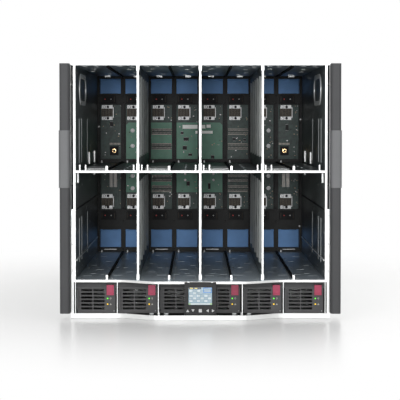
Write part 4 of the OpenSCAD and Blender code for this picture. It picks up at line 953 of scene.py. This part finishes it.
wt.links.new(w_mix.outputs["Shader"], w_out.inputs["Surface"])


def floor_material():
    """Pale floor near the object that keeps its shadow, and fades to plain white further away."""
    mat, tree, shader = new_material("pale_floor")
    shader.inputs["Roughness"].default_value = 0.25
    drift = noise(tree, 3.0, 2.0)
    shade = ramp(tree, drift, [(0.3, (0.94, 0.94, 0.935)), (0.7, (0.95, 0.95, 0.945))])
    tree.links.new(shade, shader.inputs["Base Color"])
    glow = tree.nodes.new("ShaderNodeEmission")
    glow.inputs["Color"].default_value = (1, 1, 1, 1)
    coord = tree.nodes.new("ShaderNodeTexCoord")
    length = tree.nodes.new("ShaderNodeVectorMath")
    length.operation = "LENGTH"
    tree.links.new(coord.outputs["Object"], length.inputs[0])
    fade = tree.nodes.new("ShaderNodeMapRange")
    fade.interpolation_type = "SMOOTHSTEP"
    fade.inputs["From Min"].default_value = 0.32
    fade.inputs["From Max"].default_value = 0.95
    tree.links.new(length.outputs["Value"], fade.inputs["Value"])
    path = tree.nodes.new("ShaderNodeLightPath")
    seen = tree.nodes.new("ShaderNodeMath")
    seen.operation = "MULTIPLY"
    tree.links.new(path.outputs["Is Camera Ray"], seen.inputs[0])
    tree.links.new(fade.outputs["Result"], seen.inputs[1])
    mix = tree.nodes.new("ShaderNodeMixShader")
    tree.links.new(seen.outputs["Value"], mix.inputs["Fac"])
    tree.links.new(shader.outputs["BSDF"], mix.inputs[1])
    tree.links.new(glow.outputs["Emission"], mix.inputs[2])
    out = next(n for n in tree.nodes if n.type == "OUTPUT_MATERIAL")
    tree.links.new(mix.outputs["Shader"], out.inputs["Surface"])
    return mat


bm = bmesh.new()
bmesh.ops.create_circle(bm, cap_ends=True, radius=9.0, segments=96)
floor_mesh = bpy.data.meshes.new("studio_floor")
bm.to_mesh(floor_mesh)
bm.free()
floor_mesh.materials.append(floor_material())
floor = bpy.data.objects.new("studio_floor", floor_mesh)
floor.location = (0, 0, -0.0004)
bpy.context.scene.collection.objects.link(floor)


def softbox(name, place, target, size, power):
    data = bpy.data.lights.new(name, "AREA")
    data.shape = "RECTANGLE"
    data.size, data.size_y = size
    data.energy = power
    obj = bpy.data.objects.new(name, data)
    obj.location = place
    obj.rotation_euler = (Vector(target) - Vector(place)).to_track_quat("-Z", "Y").to_euler()
    bpy.context.scene.collection.objects.link(obj)
    return obj


middle = Vector((0, 0, 0.22))
softbox("front_softbox", (-1.5, -2.8, 1.7), (0, FRONT_Y, 0.25), (2.2, 1.6), 14)
fill_data = bpy.data.lights.new("front_fill", "SUN")
fill_data.energy = 1.6
fill_data.angle = math.radians(14)
fill = bpy.data.objects.new("front_fill", fill_data)
fill.rotation_euler = Vector((0.02, 1.0, -0.035)).to_track_quat("-Z", "Y").to_euler()
bpy.context.scene.collection.objects.link(fill)
softbox("top_softbox", (0.2, 0.0, 2.6), middle, (2.2, 2.2), 16)
softbox("back_softbox", (0.6, 3.2, 1.8), middle, (2.4, 1.6), 30)

camera_data = bpy.data.cameras.new("camera")
camera_data.sensor_width = 36.0
camera_data.lens = 116.4
camera_data.shift_x = 0.0080
camera_data.shift_y = -0.10125
camera = bpy.data.objects.new("camera", camera_data)
camera.location = mm(-6, -2225, 332)
camera.rotation_euler = (math.radians(90 - 1.5), 0, 0)
bpy.context.scene.collection.objects.link(camera)
bpy.context.scene.camera = camera

view = bpy.context.scene.view_settings
view.view_transform = "Standard"
